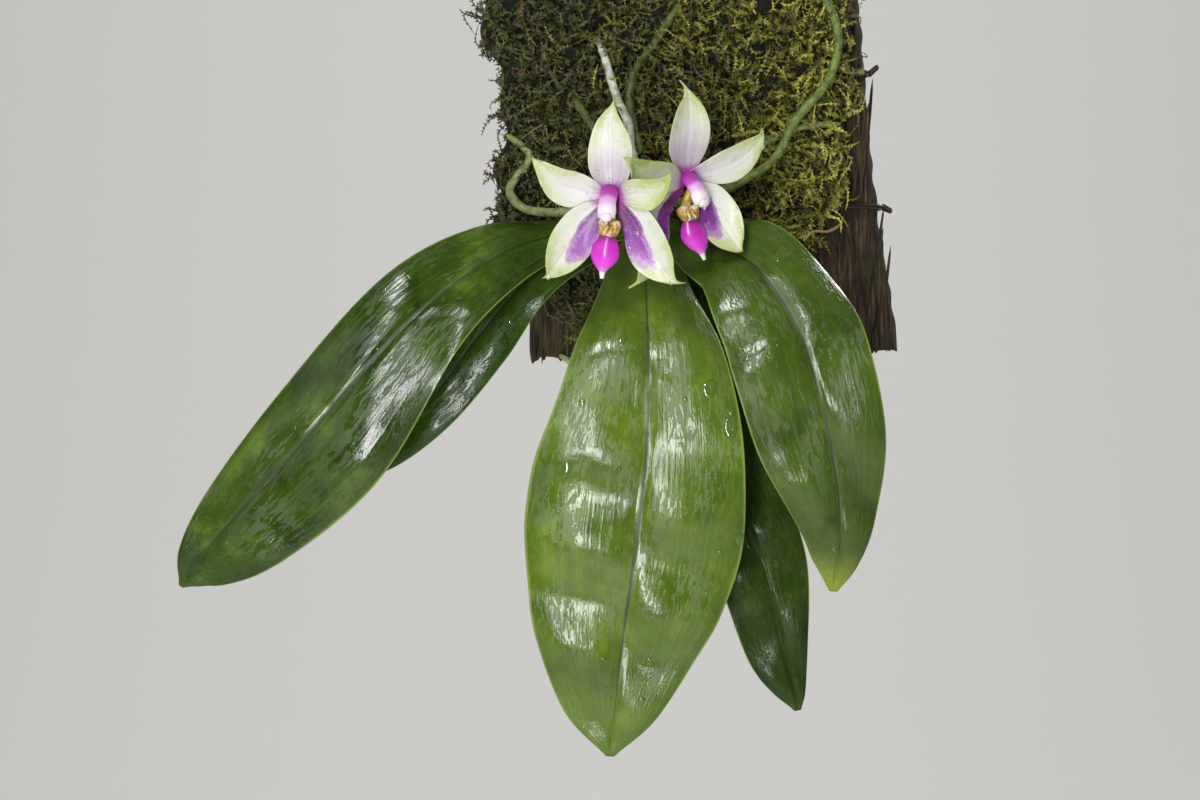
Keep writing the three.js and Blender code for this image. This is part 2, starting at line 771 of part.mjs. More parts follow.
// The pale body of a bloom: five tepals joined at the receptacle, and the ovary behind it.
function tepalsSolid(bloom, grow = 0) {
  const stalk = [bloom.at, ...bloom.ovary].map((place, i) => [...place, 1.9 - 0.14 * i]);
  return wasm.Manifold.union([
    ...bloom.tepals.map((tepal) => tepalSolid(bloom, tepal, grow)),
    ball(bloom.at, [RECEPTACLE_RADIUS, RECEPTACLE_RADIUS, RECEPTACLE_RADIUS], grow),
    tube(stalk, { sides: 6, steps: 6, grow }),
  ]);
}

// The column leans forward over the lip and ends in the rounded anther cap.
function columnSolid(grow = 0) {
  const stations = [
    [0, 0.9, 0, 3.1],
    [0, -0.5, 3.4, 2.7],
    [0, -2.6, 6, 2.5],
    [0, -5.2, 7.6, 2.8],
    [0, -7.5, 8.3, 2.2],
  ];
  const cap = ball([0, -6.6, 9.6], [2, 1.7, 1.2], grow);
  return wasm.Manifold.union([tube(stations, { sides: 8, steps: 8, grow }), cap]);
}

// The lip: a claw under the column, two plump side lobes with a tooth between each and the claw, and
// the keeled middle lobe.
function lipSolid({ lipAside, lipUp }) {
  const leaned = ([x, y, z, ...rest]) => {
    const next = THREE.MathUtils.clamp(LIP_LEAN_AT.findIndex((at) => y >= at), 1, 3);
    const [from, to] = [LIP_LEAN_AT[next - 1], LIP_LEAN_AT[next]];
    const share = THREE.MathUtils.clamp((y - from) / (to - from), 0, 1);
    const aside = THREE.MathUtils.lerp(lipAside[next - 1], lipAside[next], share);
    const up = THREE.MathUtils.lerp(lipUp[next - 1], lipUp[next], share);
    return [x + aside, y + up, z, ...rest];
  };
  const clawStations = [
    [0, -2.8, 2.4, 1.6],
    [0, -7, 3.2, 1.5],
    [0, -11, 4.6, 1.7],
    [0, -14.4, 6.2, 1.6],
  ];
  const claw = tube(clawStations.map(leaned), { sides: 6, steps: 5 });
  const lobes = [-1, 1].map((side) => ball(leaned([1.95 * side, -11.7, 6.2]), [1.9, 3, 2.1]));
  const teeth = [-1, 1].map((side) => {
    const stations = [
      [0.6 * side, -11, 7.6, 0.9],
      [0.85 * side, -12.3, 8.7, 0.6],
      [1.1 * side, -13.2, 9.3, 0.35],
    ];
    return tube(stations.map(leaned), { sides: 6, steps: 2 });
  });
  const rows = [
    [-13, 6.2, 1.5],
    [-15.2, 7, 3],
    [-17.6, 7.5, 4.4],
    [-20.2, 7.6, 4.7],
    [-22.9, 7.4, 3.4],
    [-25.1, 7.2, 1.2],
    [-27.6, 7.2, 0.4],
  ];
  const middleLobe = blade(
    (u, v) => {
      const [y, z, half] = through(rows, u);
      return vector(leaned([half * v, y, z - 0.4 * half * v * v]));
    },
    (u, v) => 1.1 + 1.5 * (1 - Math.abs(v)) * Math.sin(Math.PI * THREE.MathUtils.clamp(u, 0, 1)),
    8,
    4,
  );
  return wasm.Manifold.union([claw, ...lobes, ...teeth, middleLobe]);
}

const COLOURS = {
  wood: 0x4a3322,
  moss: 0x5d6b23,
  tieWire: 0x2a211c,
  steel: 0x9b9b95,
  stem: 0x5b6b35,
  leaf: 0x4c7a2a,
  rootSilver: 0x9ea58a,
  rootGreen: 0x55752f,
  tepal: 0xe6ebd0,
  column: 0xe9b6df,
  lip: 0xb01fa8,
  spike: 0x5f7a3a,
};

function material(colour, roughness = 0.6, metalness = 0) {
  return new THREE.MeshStandardMaterial({ color: COLOURS[colour], roughness, metalness });
}

const orchid = new THREE.Group();

function place(name, solid, finish) {
  const made = solid.getMesh();
  const geometry = new THREE.BufferGeometry();
  const points = new Float32Array(made.vertProperties);
  geometry.setAttribute("position", new THREE.BufferAttribute(points, 3));
  geometry.setIndex(new THREE.BufferAttribute(new Uint32Array(made.triVerts), 1));
  const mesh = new THREE.Mesh(geometry, finish);
  mesh.name = name;
  orchid.add(mesh);
}

// The holder: the slab takes the tie grooves and the hanger's holes.
const ties = TIE_HEIGHTS.map((height) => tieSolid(height));
const tiesGrown = TIE_HEIGHTS.map((height) => tieSolid(height, FIT_GAP));
const tieSlots = tiesGrown.map((tie) => tie.translate([0, 2 * TIE_SINK, 0]));
const slab = cutBy(slabSolid(), ...tiesGrown, ...tieSlots, hangerSolid(FIT_GAP));
place("slab", slab, material("wood", 0.9));
place("hanger", hangerSolid(), material("steel", 0.35, 1));
ties.forEach((tie, i) => place(`tie_${i + 1}`, tie, material("tieWire", 0.5)));

// The stem, and the roots cut to it and to each other.
place("stem", stemSolid(), material("stem"));
const stemGrown = stemSolid(FIT_GAP);
const rootsGrown = [];
for (const [name, root] of Object.entries(ROOTS)) {
  const silver = name === "root_silver_up" || name === "root_hooked_left" || name === "root_low";
  const solid = cutBy(rootSolid(root), stemGrown, ...rootsGrown, ...tiesGrown);
  place(name, solid, material(silver ? "rootSilver" : "rootGreen", 0.7));
  rootsGrown.push(rootSolid(root, FIT_GAP));
}
const moss = cutBy(mossSolid(), slabSolid(FIT_GAP), stemGrown, ...tiesGrown, ...rootsGrown);
place("moss_pad", moss, material("moss", 0.95));

// The leaves, cut to the stem, the roots and the leaves placed before them.
const leavesGrown = [];
const leavesFromFront = [
  "leaf_centre",
  "leaf_right_front",
  "leaf_left_front",
  "leaf_right_back",
  "leaf_left_back",
];
for (const name of leavesFromFront) {
  const solid = cutBy(leafSolid(LEAVES[name]), stemGrown, ...rootsGrown, ...leavesGrown);
  place(name, solid, material("leaf", 0.35));
  leavesGrown.push(leafSolid(LEAVES[name], FIT_GAP));
}

// The spike and its blooms. The narrow, folded feet of the tepals grow unevenly, so a lip is cut by
// tepals that are grown more.
const spikeGrown = spikeSolid(FIT_GAP);
const spike = cutBy(spikeSolid(), stemGrown, ...rootsGrown, ...leavesGrown);
place("flower_spike", spike, material("spike", 0.5));
for (const [name, bloom] of Object.entries(BLOOMS)) {
  const columnFrame = bloomMatrix(bloom, bloom.columnTurn).elements;
  const lipFrame = bloomMatrix(bloom, bloom.lipTurn).elements;
  const columnGrown = columnSolid(FIT_GAP).transform(columnFrame);
  const column = cutBy(columnSolid().transform(columnFrame), tepalsSolid(bloom, FIT_GAP));
  const tepalsWide = tepalsSolid(bloom, FIT_GAP + 0.4);
  const lip = cutBy(lipSolid(bloom).transform(lipFrame), tepalsWide, columnGrown);
  place(`${name}_tepals`, cutBy(tepalsSolid(bloom), spikeGrown), material("tepal", 0.45));
  place(`${name}_column`, column, material("column", 0.4));
  place(`${name}_lip`, lip, material("lip", 0.4));
}

export default orchid;
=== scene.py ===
"""The look of a bellina orchid that grows on a hanging wooden slab.

Lengths are in millimetres until a mesh is made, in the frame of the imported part: X to the viewer's
right, Y into the wall, Z up, with the origin on the slab's flat back.
"""

import math

import bpy
import numpy as np
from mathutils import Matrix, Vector


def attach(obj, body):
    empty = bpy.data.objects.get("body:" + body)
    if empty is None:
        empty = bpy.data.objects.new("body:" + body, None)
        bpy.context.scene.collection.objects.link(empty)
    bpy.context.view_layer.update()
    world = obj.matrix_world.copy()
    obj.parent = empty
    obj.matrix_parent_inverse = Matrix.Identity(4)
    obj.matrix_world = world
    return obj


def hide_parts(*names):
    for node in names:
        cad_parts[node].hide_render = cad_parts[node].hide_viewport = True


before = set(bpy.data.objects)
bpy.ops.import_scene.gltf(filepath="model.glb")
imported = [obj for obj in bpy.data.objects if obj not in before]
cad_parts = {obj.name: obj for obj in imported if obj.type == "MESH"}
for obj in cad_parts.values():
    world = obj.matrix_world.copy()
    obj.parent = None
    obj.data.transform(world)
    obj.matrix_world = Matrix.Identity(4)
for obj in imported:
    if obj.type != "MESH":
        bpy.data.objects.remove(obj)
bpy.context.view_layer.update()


# The pale floor: one matt sheet of background paper, far enough below for the longest leaf to hang free.
# It sweeps up far behind, and is no part of the object.
def colour(code):
    """A linear colour from the hexadecimal code of a screen colour."""
    parts = [int(code[i : i + 2], 16) / 255 for i in (0, 2, 4)]
    return [*(p / 12.92 if p <= 0.04045 else ((p + 0.055) / 1.055) ** 2.4 for p in parts), 1]


def new_material(name, **shader_values):
    """A material with its shader; returns the material, its node tree and the shader."""
    material = bpy.data.materials.new(name)
    material.use_nodes = True
    tree = material.node_tree
    shader = tree.nodes["Principled BSDF"]
    for key, value in shader_values.items():
        shader.inputs[key.replace("_", " ")].default_value = value
    return material, tree, shader


# Matt pale paper, which shows no shine of its own.
floor_material, _, _ = new_material("pale_floor", Base_Color=colour("f0efeb"), Roughness=0.95)
bend = np.linspace(0, math.pi / 2, 24)
profile = [(-8, 0), *zip(3 + 2.5 * np.sin(bend), 2.5 - 2.5 * np.cos(bend)), (5.5, 6)]
sheet = bpy.data.meshes.new("floor")
sheet.from_pydata([(x, y, z - 0.9) for y, z in profile for x in (-9, 9)], [],
                  [(2 * k, 2 * k + 1, 2 * k + 3, 2 * k + 2) for k in range(len(profile) - 1)])
sheet.materials.append(floor_material)
sheet.polygons.foreach_set("use_smooth", [True] * len(sheet.polygons))
floor = bpy.data.objects.new("floor", sheet)
bpy.context.scene.collection.objects.link(floor)


# The slab: a split board of dark, weathered wood with a split-off strip down its right side.
# Its face is ridged along the grain, its ends are torn, and its back is flat with three grooves for the ties.
def ripple(x, y, size, seed):
    """Smooth uneven waves of about that size, between -1 and 1, the same on each run."""
    random = np.random.default_rng(seed)
    total = 0
    for _ in range(7):
        angle, phase = random.uniform(0, 2 * math.pi, 2)
        pitch = 2 * math.pi / (size * random.uniform(0.6, 1.6))
        total = total + np.sin(pitch * (x * math.cos(angle) + y * math.sin(angle)) + phase)
    return total / 3.5


def ring_body(rings, around=None, along=None, material=0):
    """A closed body through rings of points, with how far round and how far along it each corner is."""
    count, sides = rings.shape[:2]
    around = np.linspace(0, 1, sides + 1) if around is None else around
    along = np.linspace(0, 1, count) if along is None else along
    i, j = (a.ravel() for a in np.meshgrid(np.arange(count - 1), np.arange(sides), indexing="ij"))
    after = (j + 1) % sides
    faces = np.stack([i * sides + j, i * sides + after, (i + 1) * sides + after, (i + 1) * sides + j], -1)
    corners = [(around[side], along[ring]) for side, ring in ((j, i), (j + 1, i), (j + 1, i + 1), (j, i + 1))]
    places = np.stack([np.stack(c, -1) for c in corners], 1)
    points = rings.reshape(-1, 3)
    a, b, c, d = (points[faces[:, k]] for k in range(4))
    outward = np.einsum("ij,ij->i", a, np.cross(b, c)).sum() + np.einsum("ij,ij->i", a, np.cross(c, d)).sum()
    face_list, place_list = faces.tolist(), places.tolist()
    for ring, end in ((0, along[0]), (count - 1, along[-1])):
        loop = [ring * sides + k for k in range(sides)]
        face_list.append(loop[::-1] if ring == 0 else loop)
        place_list.append([(around[k], end) for k in (range(sides)[::-1] if ring == 0 else range(sides))])
    if outward < 0:
        face_list = [f[::-1] for f in face_list]
        place_list = [p[::-1] for p in place_list]
    return points, face_list, place_list, material


def piece(name, bodies, materials, stands_for=(), smooth=True):
    """One object of the orchid from bodies in millimetres; it hangs with the rest from the root."""
    points, faces, places, indices, first = [], [], [], [], 0
    for body_points, body_faces, body_places, material in bodies:
        points.append(body_points)
        faces += [[first + k for k in f] for f in body_faces]
        places += [p for f in body_places for p in f]
        indices += [material] * len(body_faces)
        first += len(body_points)
    mesh = bpy.data.meshes.new(name)
    mesh.from_pydata((np.concatenate(points) / 1000).tolist(), [], faces)
    mesh.uv_layers.new(name="place").data.foreach_set("uv", np.asarray(places, np.float32).ravel())
    mesh.polygons.foreach_set("material_index", indices)
    mesh.polygons.foreach_set("use_smooth", [smooth] * len(faces))
    for material in materials:
        mesh.materials.append(material)
    made = bpy.data.objects.new(name, mesh)
    bpy.context.scene.collection.objects.link(made)
    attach(made, "root")
    if stands_for:
        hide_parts(*stands_for)


def add(tree, kind, inputs, out=0, stops=(), **settings):
    """A new shader node with its settings and links; returns its output of that number or name.

    An input given as a socket is linked, and any other is set, a colour by its code. Stops are a colour
    ramp's, each a place and a colour code or a grey level.
    """
    made = tree.nodes.new("ShaderNode" + kind)
    for name, value in settings.items():
        setattr(made, name, value)
    for key, value in inputs.items():
        if isinstance(value, bpy.types.NodeSocket):
            tree.links.new(value, made.inputs[key])
        else:
            made.inputs[key].default_value = colour(value) if isinstance(value, str) else value
    if stops:
        made.color_ramp.interpolation = "EASE"
        points = made.color_ramp.elements
        while len(points) < len(stops):
            points.new(0.5)
        for point, (at, what) in zip(points, stops):
            point.position = at
            point.color = colour(what) if isinstance(what, str) else [what, what, what, 1]
    return made.outputs[out]


def millimetres(tree):
    """The place on the object in millimetres."""
    place = add(tree, "TexCoord", {}, "Object")
    return add(tree, "VectorMath", {0: place, "Scale": 1000.0}, operation="SCALE")


def pattern(tree, place, size, detail=3, roughness=0.55, distortion=0.0):
    """An uneven pattern over the place, whose patches have that size in millimetres along each axis."""
    steps = add(tree, "VectorMath", {0: place, 1: size}, operation="DIVIDE")
    look = {"Vector": steps, "Scale": 1.0, "Detail": detail, "Roughness": roughness, "Distortion": distortion}
    return add(tree, "TexNoise", look)


def stained(tree, skin, tint, where, stops):
    """The skin with a tint laid over it, as strongly as the stops say for the value where."""
    share = add(tree, "ValToRGB", {0: where}, stops=stops)
    return add(tree, "Mix", {0: share, 6: skin, 7: tint}, 2, data_type="RGBA")


# Softwood, split and then weathered: dry and matt, brown between near-black fibres, with a film of algae.
wood, tree, shader = new_material("weathered_wood", Roughness=0.85)
spot = millimetres(tree)
grain = pattern(tree, spot, (1.3, 1.3, 26), 6, distortion=0.6)
fibre = pattern(tree, spot, (0.45, 0.45, 14), 4)
algae = pattern(tree, spot, (9, 9, 16), 4)
board = add(tree, "ValToRGB", {0: grain}, stops=[
    (0.25, "130f0a"), (0.42, "30241a"), (0.55, "4e3b28"), (0.68, "776040"), (0.85, "403122")])
board = stained(tree, board, "4d4a1c", algae, [(0.5, 0.0), (0.68, 0.75)])
board = stained(tree, board, "120b07", fibre, [(0.35, 0.75), (0.55, 0.0)])
tree.links.new(board, shader.inputs["Base Color"])
relief = add(tree, "Math", {0: grain, 1: fibre}, operation="ADD")
tree.links.new(add(tree, "Bump", {"Height": relief, "Distance": 1.1 / 1000}), shader.inputs["Normal"])

slab_corners = {"low_left": (-54.4, -106.5), "low_right": (77, -103),
                "high_left": (-74, 103), "high_right": (52.5, 107)}
slab_profile = [(0, 6), (0.004, 12), (0.03, 16), (0.09, 18.6), (0.2, 20), (0.36, 19.4), (0.52, 20),
                (0.68, 19.5), (0.82, 20), (0.905, 19), (0.925, 16.4), (0.935, 17.8), (0.985, 14.4),
                (1, 8)]
tie_heights = (70, -6.5, -54.5)
groove_half_width, groove_depth = 1.25, 2.3


def slab_place(s, t):
    """Where across and how high the slab's point is, s from its left edge and t from its foot."""
    low_left, low_right, high_left, high_right = (np.array(c, float) for c in slab_corners.values())
    low = low_left + np.multiply.outer(s, low_right - low_left)
    high = high_left + np.multiply.outer(s, high_right - high_left)
    place = low + (high - low) * np.asarray(t)[..., None]
    place[..., 0] += 0.9 * np.sin(9 * t + 2 * s)
    return place


def slab_share(height):
    """How far up the slab a height is, as a share."""
    foot, head = slab_corners["low_left"][1], slab_corners["high_left"][1]
    return (height - foot) / (head - foot)


def tie_lean(x, left):
    """How far a tie that slants a little is above its own height."""
    return 0.02 * (x - left) - 0.8


levels = np.linspace(0, 1, 190)
just_off = [way * (groove_half_width + gap) for way in (-1, 1) for gap in (0.05, -0.1)]
rims = [slab_share(height + off) for height in tie_heights for off in just_off]
levels = np.unique(np.concatenate([levels, rims]))
across = [np.linspace(0, 1, 112), [p[0] for p in slab_profile], np.linspace(0.9, 1, 26)]
across = np.unique(np.concatenate(across))
s, t = np.meshgrid(across, levels)
flat = slab_place(across, levels[:, None])
x, z = flat[..., 0], flat[..., 1]
depth = np.interp(s, *zip(*slab_profile)) + 0.5 * np.sin(31 * s + 7 * t)
grain_ridges = 0.55 * ripple(x, z * 0.05, 1.7, 3) + 0.5 * ripple(x, z * 0.09, 4.2, 4)
torn = np.exp(-t / 0.02) + np.exp(-(1 - t) / 0.02)
slab_thickest = 21
depth = np.minimum(depth + grain_ridges * np.minimum(1, depth / 12), slab_thickest)
jagged = 1.6 * ripple(x, 0 * x, 2.6, 5) + 0.8 * ripple(x, 0 * x, 0.9, 6) - 0.2
ends = np.where(t < 0.5, 1, -1) * torn * jagged
side_chips = 0.5 * ripple(z * 0.3, 0 * z, 3.1, 7) * (np.abs(s - 0.5) > 0.49)
front = np.stack([x + side_chips, -depth, z + ends], -1)
groove = np.zeros_like(x)
for height in tie_heights:
    centre = height + tie_lean(x, x[:, :1])
    groove += groove_depth * (np.abs(z - centre) < groove_half_width)
back = np.stack([x + side_chips, -groove, z + ends], -1)[:, ::-1]
slab_body = ring_body(np.concatenate([front, back], 1))
piece("slab_wood", [slab_body], [wood], ["slab"])
splinters = []
random = np.random.default_rng(11)
splinter_count, side_splinters = 46, 26
for k in range(splinter_count):
    on_side = k < side_splinters
    share = random.uniform(0.91, 1.0) if on_side else random.uniform(0.0, 0.5)
    level = random.uniform(0.02, 0.85) if on_side else random.uniform(0.0, 0.06)
    x0, z0 = slab_place(np.array(share), np.array(level))
    y0 = -np.interp(share, *zip(*slab_profile)) - 0.1
    length = random.uniform(9, 32) if on_side else random.uniform(5, 13)
    lean = random.normal(0, 0.05) - (0.09 if on_side else -0.05)
    steps = np.linspace(0, 1, 7)[:, None]
    out = random.uniform(0.4, 2.0)
    line = np.array([x0, y0, z0]) + np.hstack([
        -lean * length * steps + random.normal(0, 0.5) * steps**2,
        -out * np.sin(2.4 * steps),
        length * (steps - 0.5) * (1 if on_side else -1),
    ])
    width = random.uniform(0.35, 0.9) * np.sqrt(np.clip(4 * steps * (1 - steps), 0.01, 1))
    turns = np.linspace(0, 2 * math.pi, 6)[:-1]
    ring = np.stack([np.cos(turns), 0.6 * np.sin(turns), 0 * turns], -1)
    splinters.append(ring_body(line[:, None] + width[:, :, None] * ring[None]))
piece("slab_splinters", splinters, [wood])


# The moss pad: a springy mat of living moss, dark and matted below, deepened there with painted shade, and
# olive to yellow-green at its tips.
# The mat follows the CAD pad, and small feathery fronds are rooted in it and curl out of it on every side.
def through(rows, t):
    """Points on the smooth curve through equally spaced rows of numbers; t runs from 0 to 1."""
    rows = np.asarray(rows, float)
    padded = np.vstack([2 * rows[0] - rows[1], rows, 2 * rows[-1] - rows[-2]])
    spans = len(rows) - 1
    t = np.asarray(t, float)
    span = np.clip(np.floor(t * spans).astype(int), 0, spans - 1)
    f = (t * spans - span)[..., None]
    before, start, end, after = (padded[span + k] for k in range(4))
    slope_in, slope_out, rise = (end - before) / 2, (after - start) / 2, end - start
    bend, twist = 3 * rise - 2 * slope_in - slope_out, slope_in + slope_out - 2 * rise
    return start + f * (slope_in + f * (bend + f * twist))


def unit(vectors):
    return vectors / np.maximum(np.linalg.norm(vectors, axis=-1, keepdims=True), 1e-9)


# Each station of the pad is its height, its left and right edges there, and how thick it is.
moss_stations = [(-97, -32, -4, 3), (-82, -50, 22, 8), (-68, -61, 41, 10), (-52, -66, 52, 11),
                 (-34, -65, 56, 12), (-14, -63, 59, 12), (8, -70, 60, 13), (32, -73, 58, 13),
                 (58, -75, 55, 12), (82, -76, 53, 10), (98, -71, 49, 5)]


def moss_depth(x, z, thick, v):
    """How far the pad stands out from the slab's back, in clumps, with a dip under each tie."""
    dome = np.sqrt(1 - np.minimum(np.abs(v), 0.999) ** 6)
    clumps = (1.8 * np.sin(0.31 * x + 1.3) * np.sin(0.27 * z) + 1.3 * np.sin(0.57 * x - 0.43 * z)
              + np.sin(0.8 * z + 0.3 * x))
    dip = sum(3.2 * np.exp(-(((z - height) / 5) ** 2)) for height in tie_heights)
    return 20 + (thick + clumps - dip) * dome


def moss_point(t, v):
    """A point on the pad, t from its foot to its head and v from its left edge, -1, to its right, 1."""
    z, left, right, thick = np.moveaxis(through(moss_stations, t), -1, 0)
    i = t * 24
    left = left - 2 * np.sin(i * 2.3)
    right = right + 1.6 * np.sin(i * 1.7)
    x = left + (right - left) * (v + 1) / 2
    humps = 1.7 * ripple(x, z, 14, 8) * (1 - np.abs(v) ** 4)
    return np.stack([x, -moss_depth(x, z, thick, v * 0.98) - humps, z], -1)


# Dead moss packed into peat: damp but quite matt, with a few olive strands; its near-black is partly the
# peat's own dark brown and partly painted shade of the gaps between the fronds.
matted, tree, shader = new_material("moss_mat", Roughness=0.95)
spot = millimetres(tree)
clump = pattern(tree, spot, (3.2, 3.2, 3.2), 6)
strands = pattern(tree, spot, (0.8, 0.8, 0.8), 5, distortion=2.5)
peat_and_shade = add(tree, "ValToRGB", {0: strands}, stops=[
    (0.35, "090804"), (0.5, "181508"), (0.62, "2b290e"), (0.75, "454518")])
peat_and_shade = stained(tree, peat_and_shade, "1d1409", clump, [(0.45, 0.0), (0.6, 0.6)])
tree.links.new(peat_and_shade, shader.inputs["Base Color"])
tree.links.new(add(tree, "Bump", {"Height": strands, "Distance": 1.8 / 1000}), shader.inputs["Normal"])
t, v = np.meshgrid(np.linspace(0, 1, 120), np.linspace(-1, 1, 84), indexing="ij")
mat = moss_point(t, v)
rough = 0.7 * ripple(mat[..., 0], mat[..., 2], 4.5, 10) + 0.5 * ripple(mat[..., 0], mat[..., 2], 2.0, 9)
mat[..., 1] += 0.6 + rough * (1 - np.abs(v) ** 8)
mat_back = -12
under = mat.copy()[:, ::-1]
under[..., 1] = mat_back
piece("moss_mat", [ring_body(np.concatenate([mat, under], 1))], [matted], ["moss_pad"])


def on_body(tree):
    """The point's place on its own body: both numbers, how far round it is, and how far along."""
    place = add(tree, "UVMap", {}, uv_map="place")
    return place, *(add(tree, "SeparateXYZ", {0: place}, axis) for axis in "XY")


# Living moss: faintly satin, brown or olive where old and yellow-green where it grows, with painted shade
# darkening each frond towards its root.
frond, tree, shader = new_material("moss_fronds", Roughness=0.6)
_, tint, reach = on_body(tree)
shade = add(tree, "ValToRGB", {0: tint}, stops=[
    (0.0, "5d451b"), (0.08, "2d2c0e"), (0.35, "414516"), (0.6, "5f6020"), (0.82, "8f8c34"), (1, "bdb552")])
# Painted shade: each frond goes near-black towards its root, where it sinks into the mat.
shade = stained(tree, shade, "0e1007", reach, [(0.0, 1.0), (0.2, 0.9), (0.8, 0.0)])
tree.links.new(shade, shader.inputs["Base Color"])


def fronds(count, random, area):
    """Curly moss shoots as one body: each is a bending midrib with small overlapping leaves on both sides."""
    low, high = area
    t = random.uniform(0.015, 0.985, count * 2)
    v = random.uniform(low, high, count * 2)
    where = moss_point(t, v)
    keep = ripple(where[:, 0], where[:, 2], 11, 12) + random.uniform(-1.2, 1.0, len(t)) < 0.25
    t, v = t[keep][:count], v[keep][:count]
    root = moss_point(t, v)
    count = len(root)
    step = 0.004
    up = moss_point(np.minimum(t + step, 1), v) - moss_point(np.maximum(t - step, 0), v)
    over = moss_point(t, np.minimum(v + step, 1)) - moss_point(t, np.maximum(v - step, -1))
    normal = unit(np.cross(over, up))
    normal[normal[:, 1] > 0] *= -1
    heading = random.uniform(0, 2 * math.pi, count)
    heading = np.where(random.random(count) < 0.35, -math.pi / 2 + random.normal(0, 0.6, count), heading)
    side = unit(np.cross(normal, np.array([0, 0, 1.0])))
    rise = np.cross(side, normal)
    ahead = side * np.cos(heading)[:, None] + rise * np.sin(heading)[:, None]
    beside = np.cross(normal, ahead)
    length = random.gamma(5, 1.45, count).clip(3, 16)
    curl = random.normal(0, 1.7, count)
    arch = random.uniform(0.05, 0.5, count)
    joints = 9
    u = np.linspace(0, 1, joints)
    kink = random.normal(0, 0.5, count)[:, None] * np.sin(random.uniform(5, 9, count)[:, None] * u)
    bend = curl[:, None] * u**1.3 + kink
    forward = np.cumsum(np.cos(bend), 1) / joints
    sideways = np.cumsum(np.sin(bend), 1) / joints
    lift = arch[:, None] * np.sin(random.uniform(2.0, 4.2, count)[:, None] * u) - 0.06
    line = (root[:, None] + normal[:, None] * ((lift * length[:, None]) - 0.4)[..., None]
            + ahead[:, None] * (forward * length[:, None])[..., None]
            + beside[:, None] * (sideways * length[:, None])[..., None])
    along = unit(np.gradient(line, axis=1))
    flat = unit(np.cross(along, normal[:, None] + 0.001))
    top = np.cross(flat, along)
    thick = (random.uniform(0.22, 0.42, count)[:, None] * (1 - 0.6 * u)[None])[..., None]
    rib_a, rib_b = line + flat * thick, line - flat * thick
    leaf = random.uniform(0.7, 1.5, count)[:, None, None] * (1.2 * np.sqrt(1.05 - u))[None, :, None]
    leaf = leaf * random.uniform(0.7, 1.3, (count, joints))[..., None]
    droop = random.uniform(-0.3, 0.8, (count, joints))[..., None]
    tips = [line + sign * flat * leaf + along * leaf * 0.8 + top * leaf * droop for sign in (1, -1)]
    foot = line + along * 0.85
    points = np.stack([rib_a, rib_b, tips[0], tips[1], foot], 2).reshape(-1, 3)
    base = (np.arange(count) * joints * 5)[:, None] + (np.arange(joints) * 5)[None]
    here, after = base[:, :-1].ravel(), base[:, 1:].ravel()
    quads = np.stack([here, here + 1, after + 1, after], -1)
    every = base[:, :].ravel()
    right = np.stack([every, every + 2, every + 4], -1)
    left = np.stack([every + 1, every + 4, every + 3], -1)
    bright = np.clip((root[:, 0] + 55) / 120, 0, 1) * 0.5 + 0.12 * ripple(root[:, 0], root[:, 2], 18, 14)
    tint = np.clip(0.45 * random.beta(2.2, 2.0, count) + 0.12 + bright, 0.05, 1)
    tint = np.where(random.random(count) < 0.05, 0.0, tint)
    tints, reaches = np.repeat(tint, joints * 5), np.tile(np.repeat(u, 5), count)
    reaches = np.clip(reaches + 0.15, 0, 1)
    place = np.stack([tints, reaches], -1)
    faces = quads.tolist() + right.tolist() + left.tolist()
    corners = place[quads].tolist() + place[right].tolist() + place[left].tolist()
    return points, faces, corners, 0


random = np.random.default_rng(21)
share = 1
for number, area in enumerate([(-1, -0.6), (-0.6, -0.2), (-0.2, 0.2), (0.2, 0.6), (0.6, 1)]):
    body = fronds(int(2500 * share), random, area)
    piece(f"moss_fronds_{number + 1}", [body], [frond], smooth=False)


# The ties: three loops of dark coated wire, drawn tight over the moss and twisted shut at the right edge.
# Each runs in its groove across the slab's back.
def tube(line, radius, sides=12, flatten=1.0, material=0):
    """A round body along a line of points; radius is one number or one for each point."""
    line = np.asarray(line, float)
    radius = np.broadcast_to(radius, (len(line),))
    along = unit(np.gradient(line, axis=0))
    across = np.zeros_like(line)
    guide = np.array([0.3, 0.2, 1.0])
    for k, a in enumerate(along):
        guide = unit(guide - a * (a @ guide))
        across[k] = guide
    other = np.cross(along, across)
    turns = np.linspace(0, 2 * math.pi, sides, endpoint=False)
    ring = across[:, None] * np.cos(turns)[:, None] + other[:, None] * flatten * np.sin(turns)[:, None]
    steps = np.linalg.norm(np.diff(line, axis=0), axis=1).cumsum()
    far = np.concatenate([[0], steps]) / max(steps[-1], 1e-6)
    return ring_body(line[:, None] + ring * radius[:, None, None], along=far, material=material)


